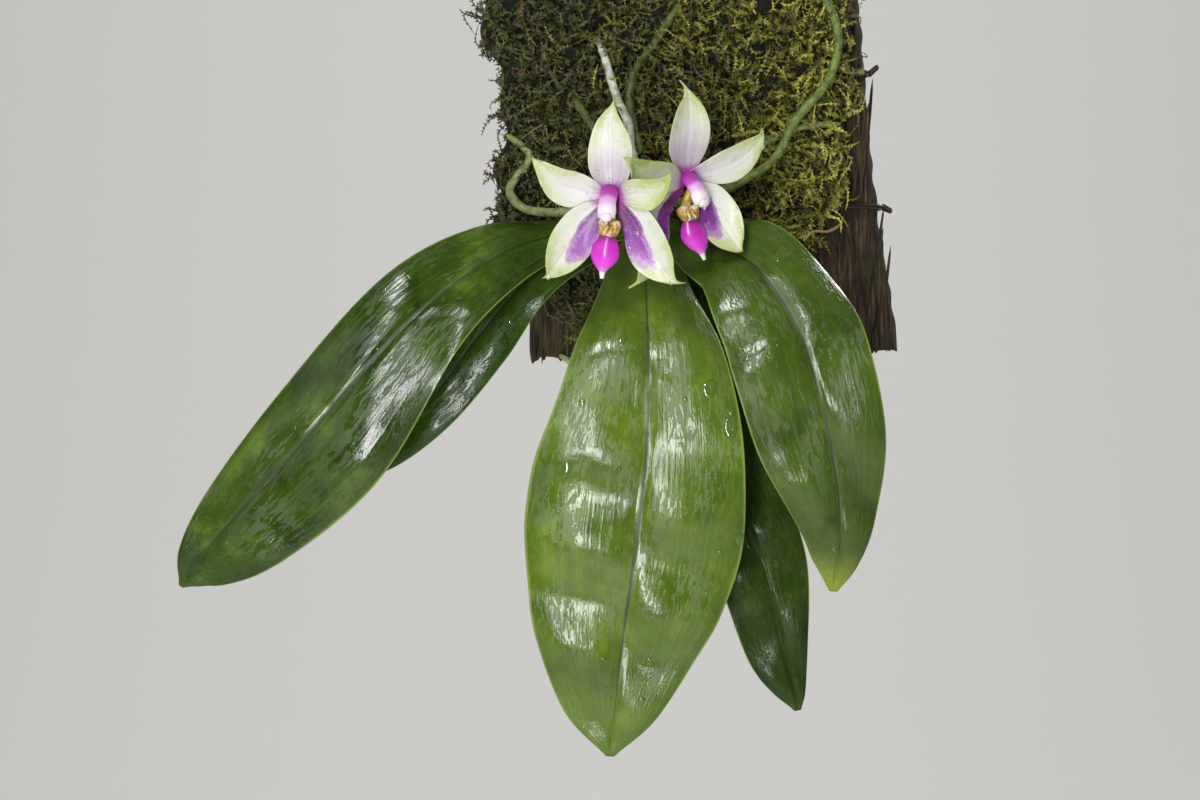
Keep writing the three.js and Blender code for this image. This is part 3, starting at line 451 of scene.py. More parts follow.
# Steel wire in a brown plastic coat, drawn smooth: half glossy and nearly black.
coated, _, _ = new_material("coated_wire", Base_Color=colour("241a14"), Roughness=0.42)
wire_radius, face = 0.9, -29
for number, height in enumerate(tie_heights):
    level = slab_share(height)
    left = slab_place(np.array(0.0), np.array(level))[0]
    right = slab_place(np.array(1.0), np.array(level))[0]
    out = wire_radius + 0.6
    loop = [(left - out, -12), (left + 1, -18.6), (left + 9, -26.5), (left + 24, face),
            ((left + right) / 2, face - 1.2), (right - 34, face), (right - 22, -26.5), (right - 8, -21),
            (right + out - 1.4, -16), (right + out, -11), (right + out, -5), (right - 1.5, -1.1),
            (right - 12, -1.1), (left + 12, -1.1), (left + 1.5, -1.1), (left - out, -5)]
    corners = np.array(loop + loop[:1], float)
    edge = np.linalg.norm(np.diff(corners, axis=0), axis=1)
    at = np.concatenate([[0], edge.cumsum()])
    fine = np.linspace(0, at[-1], 240)
    xs, ys = np.interp(fine, at, corners[:, 0]), np.interp(fine, at, corners[:, 1])
    line = np.stack([xs, ys, height + tie_lean(xs, left)], -1)
    body = tube(line, wire_radius)
    knot_at = np.array([right + out + 0.3, -11.5, height + tie_lean(right, left)])
    turns = np.linspace(0, 1, 40)
    twists = []
    for phase in (0, math.pi):
        swing = 0.75 * (1 - 0.3 * turns)
        twist = knot_at + np.stack([
            2.6 * turns + 0.2,
            swing * np.sin(phase + 11 * turns) - 1.5 * turns,
            swing * np.cos(phase + 11 * turns) + 2.2 * turns * (1 if number == 1 else -0.6),
        ], -1)
        twists.append(tube(twist, 0.62, 8))
    piece(f"tie_wire_{number + 1}", [body, *twists], [coated], [f"tie_{number + 1}"])


# The hanger: a bail of bent steel wire whose legs are pushed into holes in the slab's top edge.
# It is guessed, because the photo's edge cuts off the slab above the middle tie.
# Galvanised steel wire: a grey metal, dulled unevenly outdoors.
steel, tree, shader = new_material("steel_wire", Base_Color=colour("a2a29b"), Metallic=1.0)
dulling = pattern(tree, millimetres(tree), (2, 2, 2))
dulled = add(tree, "ValToRGB", {0: dulling}, stops=[(0.3, 0.25), (0.7, 0.5)])
tree.links.new(dulled, shader.inputs["Roughness"])
hang_x, hang_z = slab_place(np.array(0.5), np.array(1.0))
bail_half_width, bail_place, bail_height, bail_radius = 11, -10, 22.5, 1.1
bend = [(1, -15), (1, -7.5), (1, 0), (1, 7.9), (0.86, 15.75), (0.5, 20.9)]
bend = [(-a, b) for a, b in bend] + [(0, bail_height)] + bend[::-1]
bail = [(hang_x + bail_half_width * a, bail_place, hang_z + b) for a, b in bend]
bail_body = tube(through(bail, np.linspace(0, 1, 90)), bail_radius, 16)
piece("hanger_wire", [bail_body], [steel], ["hanger"])


# The stem: short, thick and ringed with the papery remains of old leaf bases.
# It grows out of the moss and down, and carries the roots, the leaves and the flower spike.
# Each station is a place and the stem's radius there.
stem_stations = [(-14, -32, -42, 4.5), (-13.6, -37, -50, 6.6), (-13, -43, -59, 7), (-12.6, -49, -67, 6.6),
                 (-12.4, -55, -74, 3.5)]
# Living stem under dry leaf bases: satin, green in places and papery brown in most.
stem_skin, tree, shader = new_material("stem_skin", Roughness=0.6)
papery = pattern(tree, millimetres(tree), (1.2, 1.2, 4), 5)
skin = add(tree, "ValToRGB", {0: papery}, stops=[
    (0.3, "3d2c17"), (0.48, "6b5a30"), (0.6, "5d6d2d"), (0.8, "7c8a44")])
tree.links.new(skin, shader.inputs["Base Color"])
tree.links.new(add(tree, "Bump", {"Height": papery, "Distance": 0.5 / 1000}), shader.inputs["Normal"])
t = np.linspace(0, 1, 90)
stem_line = through(stem_stations, t)
rings_of_bases = 0.45 * np.abs(np.sin(9 * np.pi * t)) ** 0.4 - 0.2
stem_body = tube(stem_line[:, :3], stem_line[:, 3] + rings_of_bases, 28)
piece("stem_base", [stem_body], [stem_skin], ["stem"])


# The roots: round, fleshy and wandering, with a spongy skin that is silver when dry and green when damp.
# Some lie on the moss and some hook out of it; each narrows to a blunt growing tip.
# Each root has its radius and the points of its route, from the stem to its tip.
roots = {
    "root_silver_up": (1.65, [(-15, -37, -46), (-18.3, -37, -34), (-19.4, -37, -25), (-23.2, -37, -16.5),
                              (-26, -36.6, -7.8), (-28.4, -35.6, 0.4), (-30.6, -33, 5.8)]),
    "root_dark_up": (1.9, [(-12.5, -35, -45), (-15.5, -34.5, -33), (-19, -33.5, -18), (-17.5, -33, -7),
                           (-12.6, -33, 1), (-6.3, -33, 10), (-2, -33, 19), (0.5, -32.4, 36),
                           (-3, -30.5, 52)]),
    "root_short_left": (1.7, [(-16, -36, -45), (-24, -36.5, -35.5), (-30, -36, -28.4),
                              (-34, -35.4, -22.6), (-37.2, -34, -17.8), (-39, -31, -12.5)]),
    "root_hooked_left": (1.7, [(-17, -41, -52.5), (-27, -42.5, -53.5), (-38.2, -41, -55.6),
                               (-48.8, -39.5, -56), (-56.8, -38, -54.2), (-61.2, -36.4, -48.8),
                               (-59, -34.6, -43.6), (-55.4, -33, -38.8), (-54.4, -32.4, -35.2),
                               (-57.6, -33, -31.8), (-62.5, -33.8, -28.4)]),
    "root_long_right": (1.75, [(-9.5, -42, -52), (-2, -42.5, -52.6), (7.2, -41, -50.2),
                               (19.6, -38.5, -45.4), (31.9, -37.4, -36.9), (39.3, -37.2, -23.5),
                               (50.2, -36, -10.1), (54.3, -35.6, 2.9), (52.7, -35.4, 12.6),
                               (49.6, -35.2, 20), (45.5, -34.6, 34), (43, -33, 48), (44.5, -30, 60)]),
    "root_crossing_right": (1.5, [(-10.5, -37.5, -47), (-4, -37.5, -43.8), (5.6, -36.4, -40.6),
                                  (21.5, -34.6, -34.6), (35.6, -33, -27.8), (43.5, -32.6, -25.2),
                                  (55.5, -30, -24.4)]),
    "root_low": (1.6, [(-14.5, -45, -66), (-17, -37, -76), (-20.5, -27, -88), (-28.8, -23.4, -101.5),
                       (-37.3, -22.6, -108.6), (-44, -22.6, -105.8)]),
}


def root_skin(name, dark, light, speck, silver):
    """Spongy root skin, satin: silver says how much of it is dry, and its growing tip is smooth and green."""
    material, tree, shader = new_material(name, Roughness=0.5)
    spot = millimetres(tree)
    mottle = pattern(tree, spot, (2.4, 2.4, 2.4), 4)
    fine = pattern(tree, spot, (0.35, 0.35, 0.35), 2)
    skin = add(tree, "ValToRGB", {0: mottle}, stops=[(0.32, dark), (0.68, light)])
    skin = stained(tree, skin, speck, fine, [(0.62, 0.0), (0.7, silver)])
    _, _, along = on_body(tree)
    skin = stained(tree, skin, "6f8a35", along, [(0.93, 0.0), (1.0, 0.8)])
    tree.links.new(skin, shader.inputs["Base Color"])
    relief = add(tree, "Math", {0: fine, 1: mottle}, operation="ADD")
    tree.links.new(add(tree, "Bump", {"Height": relief, "Distance": 0.25 / 1000}), shader.inputs["Normal"])
    return material


root_skins = {
    "root_silver": root_skin("silver_root", "8b9078", "c9ccba", "e4e6da", 0.8),
    "root_hooked": root_skin("grey_green_root", "5f6a3a", "8f9660", "c2c79c", 0.7),
    "root_dark": root_skin("dark_root", "2e3812", "59662a", "7f884c", 0.5),
    "root_bright": root_skin("bright_root", "45591a", "6f8434", "d0d3a0", 0.95),
}
# Each root has its skin and its slot.
root_looks = {
    "root_silver_up": ("root_silver", "root_silver"),
    "root_dark_up": ("root_dark", "root_green"),
    "root_short_left": ("root_dark", "root_green"),
    "root_hooked_left": ("root_hooked", "root_silver"),
    "root_long_right": ("root_bright", "root_green"),
    "root_crossing_right": ("root_hooked", "root_green"),
    "root_low": ("root_silver", "root_silver"),
}
for number, (name, (radius, route)) in enumerate(roots.items()):
    spans = len(route) - 1
    rows = [(*p, radius * (0.5 if i == spans else 1 - 0.02 * i)) for i, p in enumerate(route)]
    t = np.linspace(0, 1, spans * 16)
    made = through(rows, t)
    swell = 1 + 0.05 * np.sin(23 * t + number) + 0.04 * np.sin(61 * t)
    blunt = np.sqrt(np.clip(1 - ((t - 0.975) / 0.025).clip(0, 1) ** 2, 0.02, 1))
    look, slot = root_looks[name]
    body = tube(made[:, :3], made[:, 3] * swell * blunt, 16)
    piece(f"{name}_skin", [body], [root_skins[look]], [name])
thin_route = [(42.2, -33, -65.7), (45.8, -31.5, -62.4), (50.8, -29, -62.3), (54.5, -26, -60.5),
              (57, -21, -57.6)]
thin = through(thin_route, np.linspace(0, 1, 40))
# One rootlet is dead and straw-brown, and the other is young, moist and yellow-green.
dry_root, _, _ = new_material("dry_rootlet", Base_Color=colour("a98a5c"), Roughness=0.7)
young_root, _, _ = new_material("young_rootlet", Base_Color=colour("a39a3a"), Roughness=0.45)
stub = through([(25.9, -32, -23), (31.8, -34, -23.1), (36.5, -32, -26.2)], np.linspace(0, 1, 30))
rootlets = [tube(thin, 0.45, 8), tube(stub, np.linspace(1.3, 0.8, 30), 12, material=1)]
piece("rootlets", rootlets, [dry_root, young_root])


# The leaves: five thick, waxy straps that arch from the stem and droop, wet and shining in patches.
# Each has a sunken midrib, fine lengthwise veins, a thin pale edge and its own waved margins.
# Each station is a point of the rib, the blade's width to either side of it, and how many degrees the face
# looks up there. The last three numbers are how far each margin waves, and where its waves start.
leaves = {
    "leaf_left_front": ([(-15, -47, -62, 6, 6, 50), (-27.5, -55, -63.5, 7.5, 6.5, 45),
                         (-44.2, -68, -65.5, 9.5, 8.5, 36), (-63.3, -80, -73, 13.5, 13, 28),
                         (-91.4, -89, -93.3, 17.2, 19.5, 18), (-124.1, -87, -130, 17.8, 27.5, 12),
                         (-151.4, -77, -159.8, 13.7, 22.5, 8), (-166.5, -70, -176.5, 8, 12.5, 6),
                         (-172.6, -66, -185.2, 1, 1, 6)], (2.4, 2.2, 0.1)),
    "leaf_left_back": ([(-15, -43, -60, 5.5, 5.5, 40), (-28, -48, -65, 7, 7, 30),
                        (-42, -55, -71.5, 9, 8.5, 24), (-57.5, -60, -84, 11, 10, 18),
                        (-72, -61, -101, 12, 12, 14), (-88, -58, -121.5, 11.5, 11.5, 10),
                        (-103, -53, -137.5, 8, 8, 8), (-115.5, -48, -150.5, 1, 1, 6)], (1.2, 1.6, 0.3)),
    "leaf_centre": ([(-13, -52, -64, 6, 6, 60), (-14, -68, -72, 10.5, 10.5, 45),
                     (-14, -82, -84.6, 16, 16, 32), (-13.5, -93, -102, 24, 24, 20),
                     (-13.5, -96.5, -123.8, 31, 30, 10), (-14.5, -96, -144.5, 37, 33.5, 5),
                     (-17.1, -93, -167.6, 38, 35.5, 2), (-19.8, -89, -187.2, 34.4, 32.3, 0),
                     (-22.1, -85, -203.9, 29.6, 26.2, 0), (-24.8, -80, -228.7, 17, 14, 0),
                     (-26.1, -77, -242.2, 1.5, 1.5, 0)], (1.6, 2.5, 0.15)),
    "leaf_right_front": ([(-10, -50, -61, 6, 6, 50), (-1, -60, -65, 9.5, 9, 44),
                          (9.3, -73, -70.4, 14, 13, 34), (18.6, -84, -74.3, 18, 16.5, 26),
                          (27, -92, -82.7, 22.5, 18.5, 20), (34.8, -96, -94.8, 25, 20, 14),
                          (40.1, -96.5, -108.1, 26, 20.4, 10), (47.7, -92, -136.8, 24.1, 18.6, 6),
                          (51.2, -86, -161.5, 15.3, 12.4, 4), (50.9, -81, -175.9, 9.1, 7.5, 4),
                          (49.5, -77, -186.2, 1.5, 1.5, 4)], (0.8, 4.2, 0.55)),
    "leaf_right_back": ([(-11, -46, -64, 5.5, 5.5, 40), (-5, -51, -76, 8.5, 8.5, 24),
                         (1.5, -57, -94.2, 13.5, 13.5, 14), (10.9, -62, -132.1, 17.8, 17.8, 6),
                         (20.1, -62, -162.2, 17.3, 16.8, 4), (27.4, -60, -181.8, 16, 15, 2),
                         (33.6, -57, -207.2, 13, 8.8, 0), (37.6, -54, -221.5, 7.5, 4.2, 0),
                         (38.9, -53, -229, 1.2, 1.2, 0)], (1.2, 1.2, 0.4)),
}


def leaf_points(name, u, v):
    """The leaf's middle surface on a net of u, from stem to tip, and v, from one edge to the other."""
    stations, (wave_left, wave_right, phase) = leaves[name]
    rows = through(stations, u)
    along = unit(through(stations, u + 0.005)[:, :3] - through(stations, u - 0.005)[:, :3])
    sky = np.radians(rows[:, 5])
    face = np.stack([0 * sky, -np.cos(sky), np.sin(sky)], -1)
    face = unit(face - along * np.einsum("ij,ij->i", face, along)[:, None])
    side = np.cross(along, face)
    left, right = np.maximum(rows[:, 3], 0.5)[:, None], np.maximum(rows[:, 4], 0.5)[:, None]
    half = np.where(v[None] > 0, left, right)
    waves = np.sin(2 * math.pi * (2.6 * u + phase)) * np.sin(math.pi * np.clip(u, 0, 1))
    wave = np.where(v[None] > 0, wave_left, wave_right) * v[None] ** 2 * waves[:, None]
    lift = half * (0.2 * np.abs(v)[None] - 0.24 * v[None] ** 2) + wave
    outward = side[:, None] * (v[None] * half)[..., None]
    return rows[:, None, :3] + outward + face[:, None] * lift[..., None], half


def blade_rings(middle, face_out, back_out):
    """Rings of a blade from its middle surface, with how far its face and back stand off it."""
    down, over = np.gradient(middle, axis=0), np.gradient(middle, axis=1)
    normal = unit(np.cross(over, down))
    face = middle + normal * face_out[..., None]
    back = middle - normal * back_out[..., None]
    return np.concatenate([face, back[:, ::-1]], 1), normal


def blade_around(v):
    """How far round a blade each ring point is: 0 to 1 across its face and 1 to 2 across its back."""
    return np.concatenate([(v + 1) / 2, 1 + (v + 1) / 2, [2.0]])


def leaf_skin(name, length, width, dark, light, patch, tip, shine):
    """Waxy leaf skin, misted: a satin mottled green, smooth and mirror-like where a film of water lies on it.

    Its face is about width by length in millimetres. Fine veins run along it, painted shade makes a dark thin
    line down its midrib's groove, its edge is pale, and its underside is paler all over.
    """
    material, tree, shader = new_material(name, Specular_IOR_Level=shine, Subsurface_Weight=0.03,
                                          Subsurface_Radius=(0.4, 1.0, 0.2), Subsurface_Scale=0.002)
    place, across, along = on_body(tree)
    fold = add(tree, "Math", {0: across}, operation="FRACT")
    under = add(tree, "Math", {0: across, 1: 1.0}, operation="GREATER_THAN")
    face = add(tree, "VectorMath", {0: place, 1: (width, length, 0)}, operation="MULTIPLY")
    mottle = pattern(tree, millimetres(tree), (17, 17, 17), 5, roughness=0.6)
    veins = pattern(tree, face, (0.7, 40, 1))
    broad_veins = pattern(tree, face, (2.6, 90, 1), 2)
    grain = pattern(tree, face, (0.6, 1.5, 1), 4, roughness=0.65)
    off_middle = add(tree, "Math", {0: fold, 1: 0.5}, operation="SUBTRACT")
    off_middle = add(tree, "Math", {0: off_middle}, operation="ABSOLUTE")
    centimetres_off_rib = add(tree, "Math", {0: off_middle, 1: width / 10}, operation="MULTIPLY")
    to_edge = add(tree, "Math", {0: off_middle, 1: 2.0}, operation="MULTIPLY")
    skin = add(tree, "ValToRGB", {0: mottle}, stops=[(0.34, dark), (0.52, light), (0.72, patch)])
    skin = stained(tree, skin, dark, broad_veins, [(0.4, 0.3), (0.6, 0.0)])
    skin = stained(tree, skin, patch, veins, [(0.52, 0.0), (0.72, 0.3)])
    skin = stained(tree, skin, patch, grain, [(0.5, 0.0), (0.72, 0.35)])
    # Painted shade: a thin near-black line down the midrib's groove.
    skin = stained(tree, skin, "1d3208", centimetres_off_rib, [(0.03, 0.9), (0.09, 0.0)])
    skin = stained(tree, skin, "8b9c4e", to_edge, [(0.965, 0.0), (0.99, 0.6)])
    skin = stained(tree, skin, tip, along, [(0.86, 0.0), (0.99, 0.75)])
    pale = add(tree, "Math", {0: under, 1: 0.55}, operation="MULTIPLY")
    skin = add(tree, "Mix", {0: pale, 6: skin, 7: "6f8744"}, 2, data_type="RGBA")
    tree.links.new(skin, shader.inputs["Base Color"])

    film = pattern(tree, face, (9, 20, 1), roughness=0.5)
    beads = pattern(tree, face, (1.3, 3.6, 1), 4, roughness=0.6, distortion=0.6)
    water = add(tree, "Math", {0: film, 1: 0.7, 2: beads}, operation="MULTIPLY_ADD")
    wet = add(tree, "ValToRGB", {0: water}, stops=[(0.79, 0.0), (0.835, 1.0)])
    half_veins = add(tree, "Math", {0: veins, 1: 0.5}, operation="MULTIPLY")
    wax = add(tree, "Math", {0: mottle, 1: 0.5, 2: half_veins}, operation="MULTIPLY_ADD")
    wax = add(tree, "ValToRGB", {0: wax}, stops=[(0.3, 0.36), (0.7, 0.5)])
    wet_roughness, rib_roughness = 0.091, 0.479
    gloss = add(tree, "Mix", {0: wet, 2: wax, 3: wet_roughness})
    on_rib = add(tree, "ValToRGB", {0: centimetres_off_rib}, stops=[(0.03, 0.8), (0.13, 0.0)])
    tree.links.new(add(tree, "Mix", {0: on_rib, 2: gloss, 3: rib_roughness}), shader.inputs["Roughness"])

    relief = add(tree, "Math", {0: broad_veins, 1: 2.0}, operation="MULTIPLY")
    for height, share in ((veins, 0.6), (grain, 0.8), (wet, 0.5)):
        relief = add(tree, "Math", {0: height, 1: share, 2: relief}, operation="MULTIPLY_ADD")
    tree.links.new(add(tree, "Bump", {"Height": relief, "Distance": 0.07 / 1000}), shader.inputs["Normal"])
    return material


# Each leaf has its length and width, then the four colours and the shine that its skin takes.
leaf_looks = {
    # The front left leaf's greens spread widest: its mottle is partly its own uneven tone and partly painted
    # sheen in patches.
    "leaf_left_front": (190, 42, "1d3105", "30480a", "526b16", "38500e", 0.42),
    "leaf_left_back": (140, 23, "213809", "304c12", "48631c", "3c5519", 0.3),
    "leaf_centre": (190, 70, "3f560c", "506913", "647c20", "5c741c", 0.6),
    "leaf_right_front": (150, 45, "2e430b", "3f5611", "51681e", "8f9b2c", 0.5),
    "leaf_right_back": (175, 33, "1e2f0b", "2a3d10", "394e18", "334818", 0.2),
}
swell_spacing, rib_width = 33, 0.9
facing_up = {}
for number, name in enumerate(leaves):
    length = leaf_looks[name][0]
    u, v = np.linspace(0, 1, 124), np.sin(np.linspace(-1, 1, 45) * math.pi / 2)
    middle, half = leaf_points(name, u, v)
    x, z = middle[..., 0], middle[..., 2]
    from_rib = v[None] * half
    fade = np.clip(np.minimum(u / 0.06, (1 - u) / 0.05), 0, 1)[:, None]
    thick = 1.1 * (1 - 0.45 * v[None] ** 2) * (1 - 0.7 * np.abs(v)[None] ** 14) + 0 * half
    along = (u * length)[:, None] + 0 * half
    dents = 0.3 * ripple(x, z, 24, 30 + number) + 0.08 * ripple(x, z, 10, 40 + number)
    turn = 2 * math.pi * along / swell_spacing + 1.7 * np.tanh(from_rib / 5)
    turn = turn + 0.6 * ripple(0.4 * from_rib, along, 60, 50 + number)
    swing = 0.7 + 0.5 * np.clip((u - 0.4) / 0.3, 0, 1)[:, None]
    dents = dents + swing * np.sin(turn + number) * (1 - 0.6 * np.exp(-((from_rib / 5) ** 2)))
    dents = dents * (1 - v[None] ** 6)
    groove = 0.75 * np.exp(-((from_rib / rib_width) ** 2)) - 0.25 * np.exp(-((from_rib / 2.6) ** 2))
    groove = groove * fade * (1 - v[None] ** 6)
    keel = 0.9 * np.exp(-((from_rib / (2 * rib_width)) ** 2)) * fade
    rings, normal = blade_rings(middle, thick + (dents - groove) * fade, thick + (keel - dents) * fade)
    facing_up[name] = (rings[:, : len(v)], normal)
    skin = leaf_skin(name, *leaf_looks[name])
    piece(f"{name}_blade", [ring_body(rings, blade_around(v), u)], [skin], [name])


# The flower spike: a short green stalk that grows from the stem and holds the two blooms out over the leaves.
# Scale-like bracts clasp it.
# Each station is a place and the stalk's radius there.
spike_stations = [(-11.5, -40, -53.5, 2.2), (-9.5, -52, -50.5, 2.1), (-8.2, -64, -48.6, 2),
                  (-7.6, -76, -47.6, 1.9), (-8.4, -84.5, -47.4, 1.2)]
# Young stalk: satin and green, flushed with dull red-brown.
stalk_skin, tree, shader = new_material("spike_skin", Roughness=0.45)
flush = pattern(tree, millimetres(tree), (2, 5, 2), 4)
skin = add(tree, "ValToRGB", {0: flush}, stops=[(0.3, "46591f"), (0.55, "6a8138"), (0.75, "7a5f45")])
tree.links.new(skin, shader.inputs["Base Color"])
spike = through(spike_stations, np.linspace(0, 1, 80))
spike_bodies = [tube(spike[:, :3], spike[:, 3], 20)]
for number, share in enumerate((0.3, 0.52, 0.76)):
    x, y, z, _ = through(spike_stations, np.array(share))
    side = 1 if number % 2 else -1
    route = [(x + 0.4 * side, y + 1, z), (x + 1.6 * side, y - 2, z + 0.3), (x + 2.8 * side, y - 4.6, z + 0.8)]
    t = np.linspace(0, 1, 24)
    width = 1.9 * np.sqrt(np.clip(1.02 - t**1.6, 0.01, 1))
    spike_bodies.append(tube(through(route, t), width, 16, flatten=0.75))
piece("flower_spike_skin", spike_bodies, [stalk_skin], ["flower_spike"])


# The blooms: three sepals and two petals each, waxy white turning lime at the tips, with violet flushed over
# the inner halves of the two lower sepals. They are one piece with the receptacle and the ovary behind it.
# Each bloom has its centre, how many degrees it faces aside and up, and how its column and lip are turned.
# A row of a tepal is the x and z of both its margins and the depth of the middle between them.
blooms = {
    "bloom_left": {
        "at": (-26, -107, -53.3), "yaw": -12, "pitch": -14, "column_turn": 0, "lip_turn": -6,
        "ovary": [(-24.5, -103.5, -52.5), (-19, -96, -49.5), (-12.5, -88.5, -47.6), (-8.6, -83.6, -47.3)],
        "tepals": [
            ("dorsal", [(-27.9, -53.2, -23.9, -53.2, -106.8), (-30.8, -49.7, -20.8, -50, -106.1),
                        (-33, -45.2, -19.1, -45.6, -105.2), (-33.4, -39.9, -18.7, -40.4, -104.4),
                        (-32.5, -34.7, -19.5, -35.3, -103.7), (-30.8, -30, -21.5, -30.9, -103.1),
                        (-28.3, -26.6, -23.4, -27.3, -102.6), (-26.1, -24.2, -24.4, -24.4, -102.3),
                        (-24.9, -21.6, -24.9, -21.6, -102)]),
            ("petal", [(-27.5, -55.9, -27.5, -53.1, -107.2), (-31.9, -57, -30, -50.5, -107.5),
                       (-36.5, -58.1, -33.2, -48.3, -107.8), (-41.6, -57.7, -37, -46.7, -108.2),
                       (-46, -55.2, -41, -45.8, -108.9), (-48.7, -51.3, -44.6, -44.6, -109.8),
                       (-50.3, -47.6, -47.7, -43.5, -110.7), (-51.4, -44.8, -50.1, -42.9, -111.4),
                       (-52.2, -42.2, -52.2, -42.2, -112)]),
            ("lime_petal", [(-23.6, -52.6, -23.6, -56.9, -107.6), (-22.1, -50.6, -20.3, -57.9, -109.3),
                            (-19.7, -49.4, -16.8, -59.1, -111.1), (-16.8, -49.3, -12.9, -59.4, -113),
                            (-13.9, -49.6, -9.7, -57.4, -114.8), (-11.2, -49.6, -7.7, -54.5, -116.4),
                            (-8.9, -49, -6.6, -51.6, -117.7), (-7.4, -48.3, -6.2, -49.4, -118.6),
                            (-6.2, -47.3, -6.2, -47.3, -119.5)]),
            ("left_lateral", [(-26.9, -58.2, -29.2, -55.5, -107.1), (-27.8, -62.7, -33.9, -56.4, -107.2),
                              (-29.6, -67.4, -38.6, -58.6, -107.2), (-31.8, -72.3, -42.6, -62.6, -107.3),
                              (-35.1, -76.5, -45.6, -67.3, -107.7), (-39.1, -79.5, -47, -72.3, -108.2),
                              (-43.1, -81.1, -47.3, -76.8, -108.8), (-46.2, -81.7, -47.1, -80.2, -109.2),
                              (-49.1, -82.2, -49.1, -82.2, -109.5)]),
            ("right_lateral", [(-22.9, -54.9, -24.6, -57.5, -107.1), (-18.1, -56.4, -22.8, -62.4, -108.1),
                               (-13.6, -59.5, -21.5, -67.8, -109.1), (-10, -64.2, -20.2, -73.6, -110.1),
                               (-7.3, -69.3, -17.2, -78.6, -110.7), (-5.5, -74.5, -12.7, -81.8, -110.9),
                               (-5.2, -79.1, -8.3, -83.3, -110.9), (-4.3, -82.4, -4.8, -83.8, -111),
                               (-1.6, -83.8, -1.6, -83.8, -111)]),
        ],
    },
    "bloom_right": {
        "at": (0, -91, -48), "yaw": 25, "pitch": -12, "column_turn": 16, "lip_turn": 10,
        "ovary": [(-1, -87.5, -47.6), (-4, -81.5, -47.2), (-7, -76.5, -47.4)],
        "tepals": [
            ("dorsal", [(-2.6, -46.9, 1.3, -46.5, -90.9), (-4.9, -43.1, 3.6, -42.5, -90.5),
                        (-6.6, -38.7, 5.9, -37.9, -90.1), (-6.3, -33.5, 7.1, -32.6, -89.7),
                        (-5.3, -28.4, 6.6, -27.3, -89.3), (-3.6, -23.9, 4.7, -22.6, -88.9),
                        (-1.6, -20.3, 2, -19.2, -88.5), (-1.3, -17.2, -0.3, -16.9, -88.2),
                        (-2, -14.6, -2, -14.6, -88)]),
            ("petal", [(-0.1, -45.5, 0.6, -49.2, -90.9), (3.2, -43.4, 5.4, -48.8, -90.2),
                       (6.7, -41, 10.4, -49.2, -89.5), (10.5, -38.7, 15.7, -48.1, -88.8),
                       (14.6, -36.9, 20.3, -45.1, -88.3), (18.4, -35.1, 23.4, -41.1, -88.2),
                       (21.7, -33.7, 25.1, -37.1, -88.1), (24.1, -32.5, 25.7, -33.8, -88.1),
                       (25.8, -30.9, 25.8, -30.9, -88)]),
            ("lime_petal", [(-1.4, -50.3, -1.4, -46.9, -91.8), (-4.6, -51.9, -3.3, -45.1, -94.6),
                            (-8.3, -52.6, -5.3, -43.2, -97.7), (-12.2, -52.3, -8.5, -42.8, -100.9),
                            (-15.9, -51, -11.8, -42.7, -103.8), (-19, -49.2, -14.8, -42.5, -106.4),
                            (-19.5, -46.3, -17.4, -42.4, -108.4), (-20.3, -44.2, -19.3, -42.3, -110),
                            (-21.1, -42.3, -21.1, -42.3, -111.4)]),
            ("right_lateral", [(0.6, -47.2, -0.4, -50.5, -91), (5, -48.7, 0.9, -54.6, -90.4),
                               (10, -49.7, 2.3, -59, -89.7), (13.9, -53.2, 3.8, -63.7, -89.1),
                               (16.8, -57.7, 6.4, -67.8, -89.1), (18.2, -62.5, 10, -70.6, -89.6),
                               (18.6, -66.8, 13.8, -71.9, -90.2), (18.3, -70.1, 16.6, -72.5, -90.6),
                               (19.2, -72.4, 19.2, -72.4, -91)]),
            ("left_lateral", [(-1.7, -51.6, -3.7, -49.6, -91.3), (-4.3, -56.1, -8.2, -52.6, -92.5),
                              (-6.6, -61.2, -11.9, -57, -93.8), (-6.6, -67.2, -14.8, -62.5, -95.2),
                              (-8.1, -73, -16.7, -68.4, -96.8), (-10.5, -78.1, -17.3, -74.1, -98.4),
                              (-13.6, -81.5, -16.9, -79, -99.9), (-16.7, -83.3, -17.3, -82.6, -101),
                              (-19.2, -85.2, -19.2, -85.2, -102)]),
        ],
    },
}


def bloom_axes(bloom, roll=0):
    """The bloom's right, up and facing directions, turned by roll degrees about the last."""
    turn, nod, roll = (math.radians(a) for a in (bloom["yaw"], bloom["pitch"], roll))
    right = np.array([math.cos(turn), math.sin(turn), 0])
    face = np.array([math.sin(turn) * math.cos(nod), -math.cos(turn) * math.cos(nod), math.sin(nod)])
    up = np.cross(face, right)
    return math.cos(roll) * right + math.sin(roll) * up, math.cos(roll) * up - math.sin(roll) * right, face


def in_bloom(bloom, local, roll=0):
    """Points given as right, up and forward of the bloom's centre, in the frame."""
    return np.asarray(bloom["at"]) + np.asarray(local) @ np.array(bloom_axes(bloom, roll))


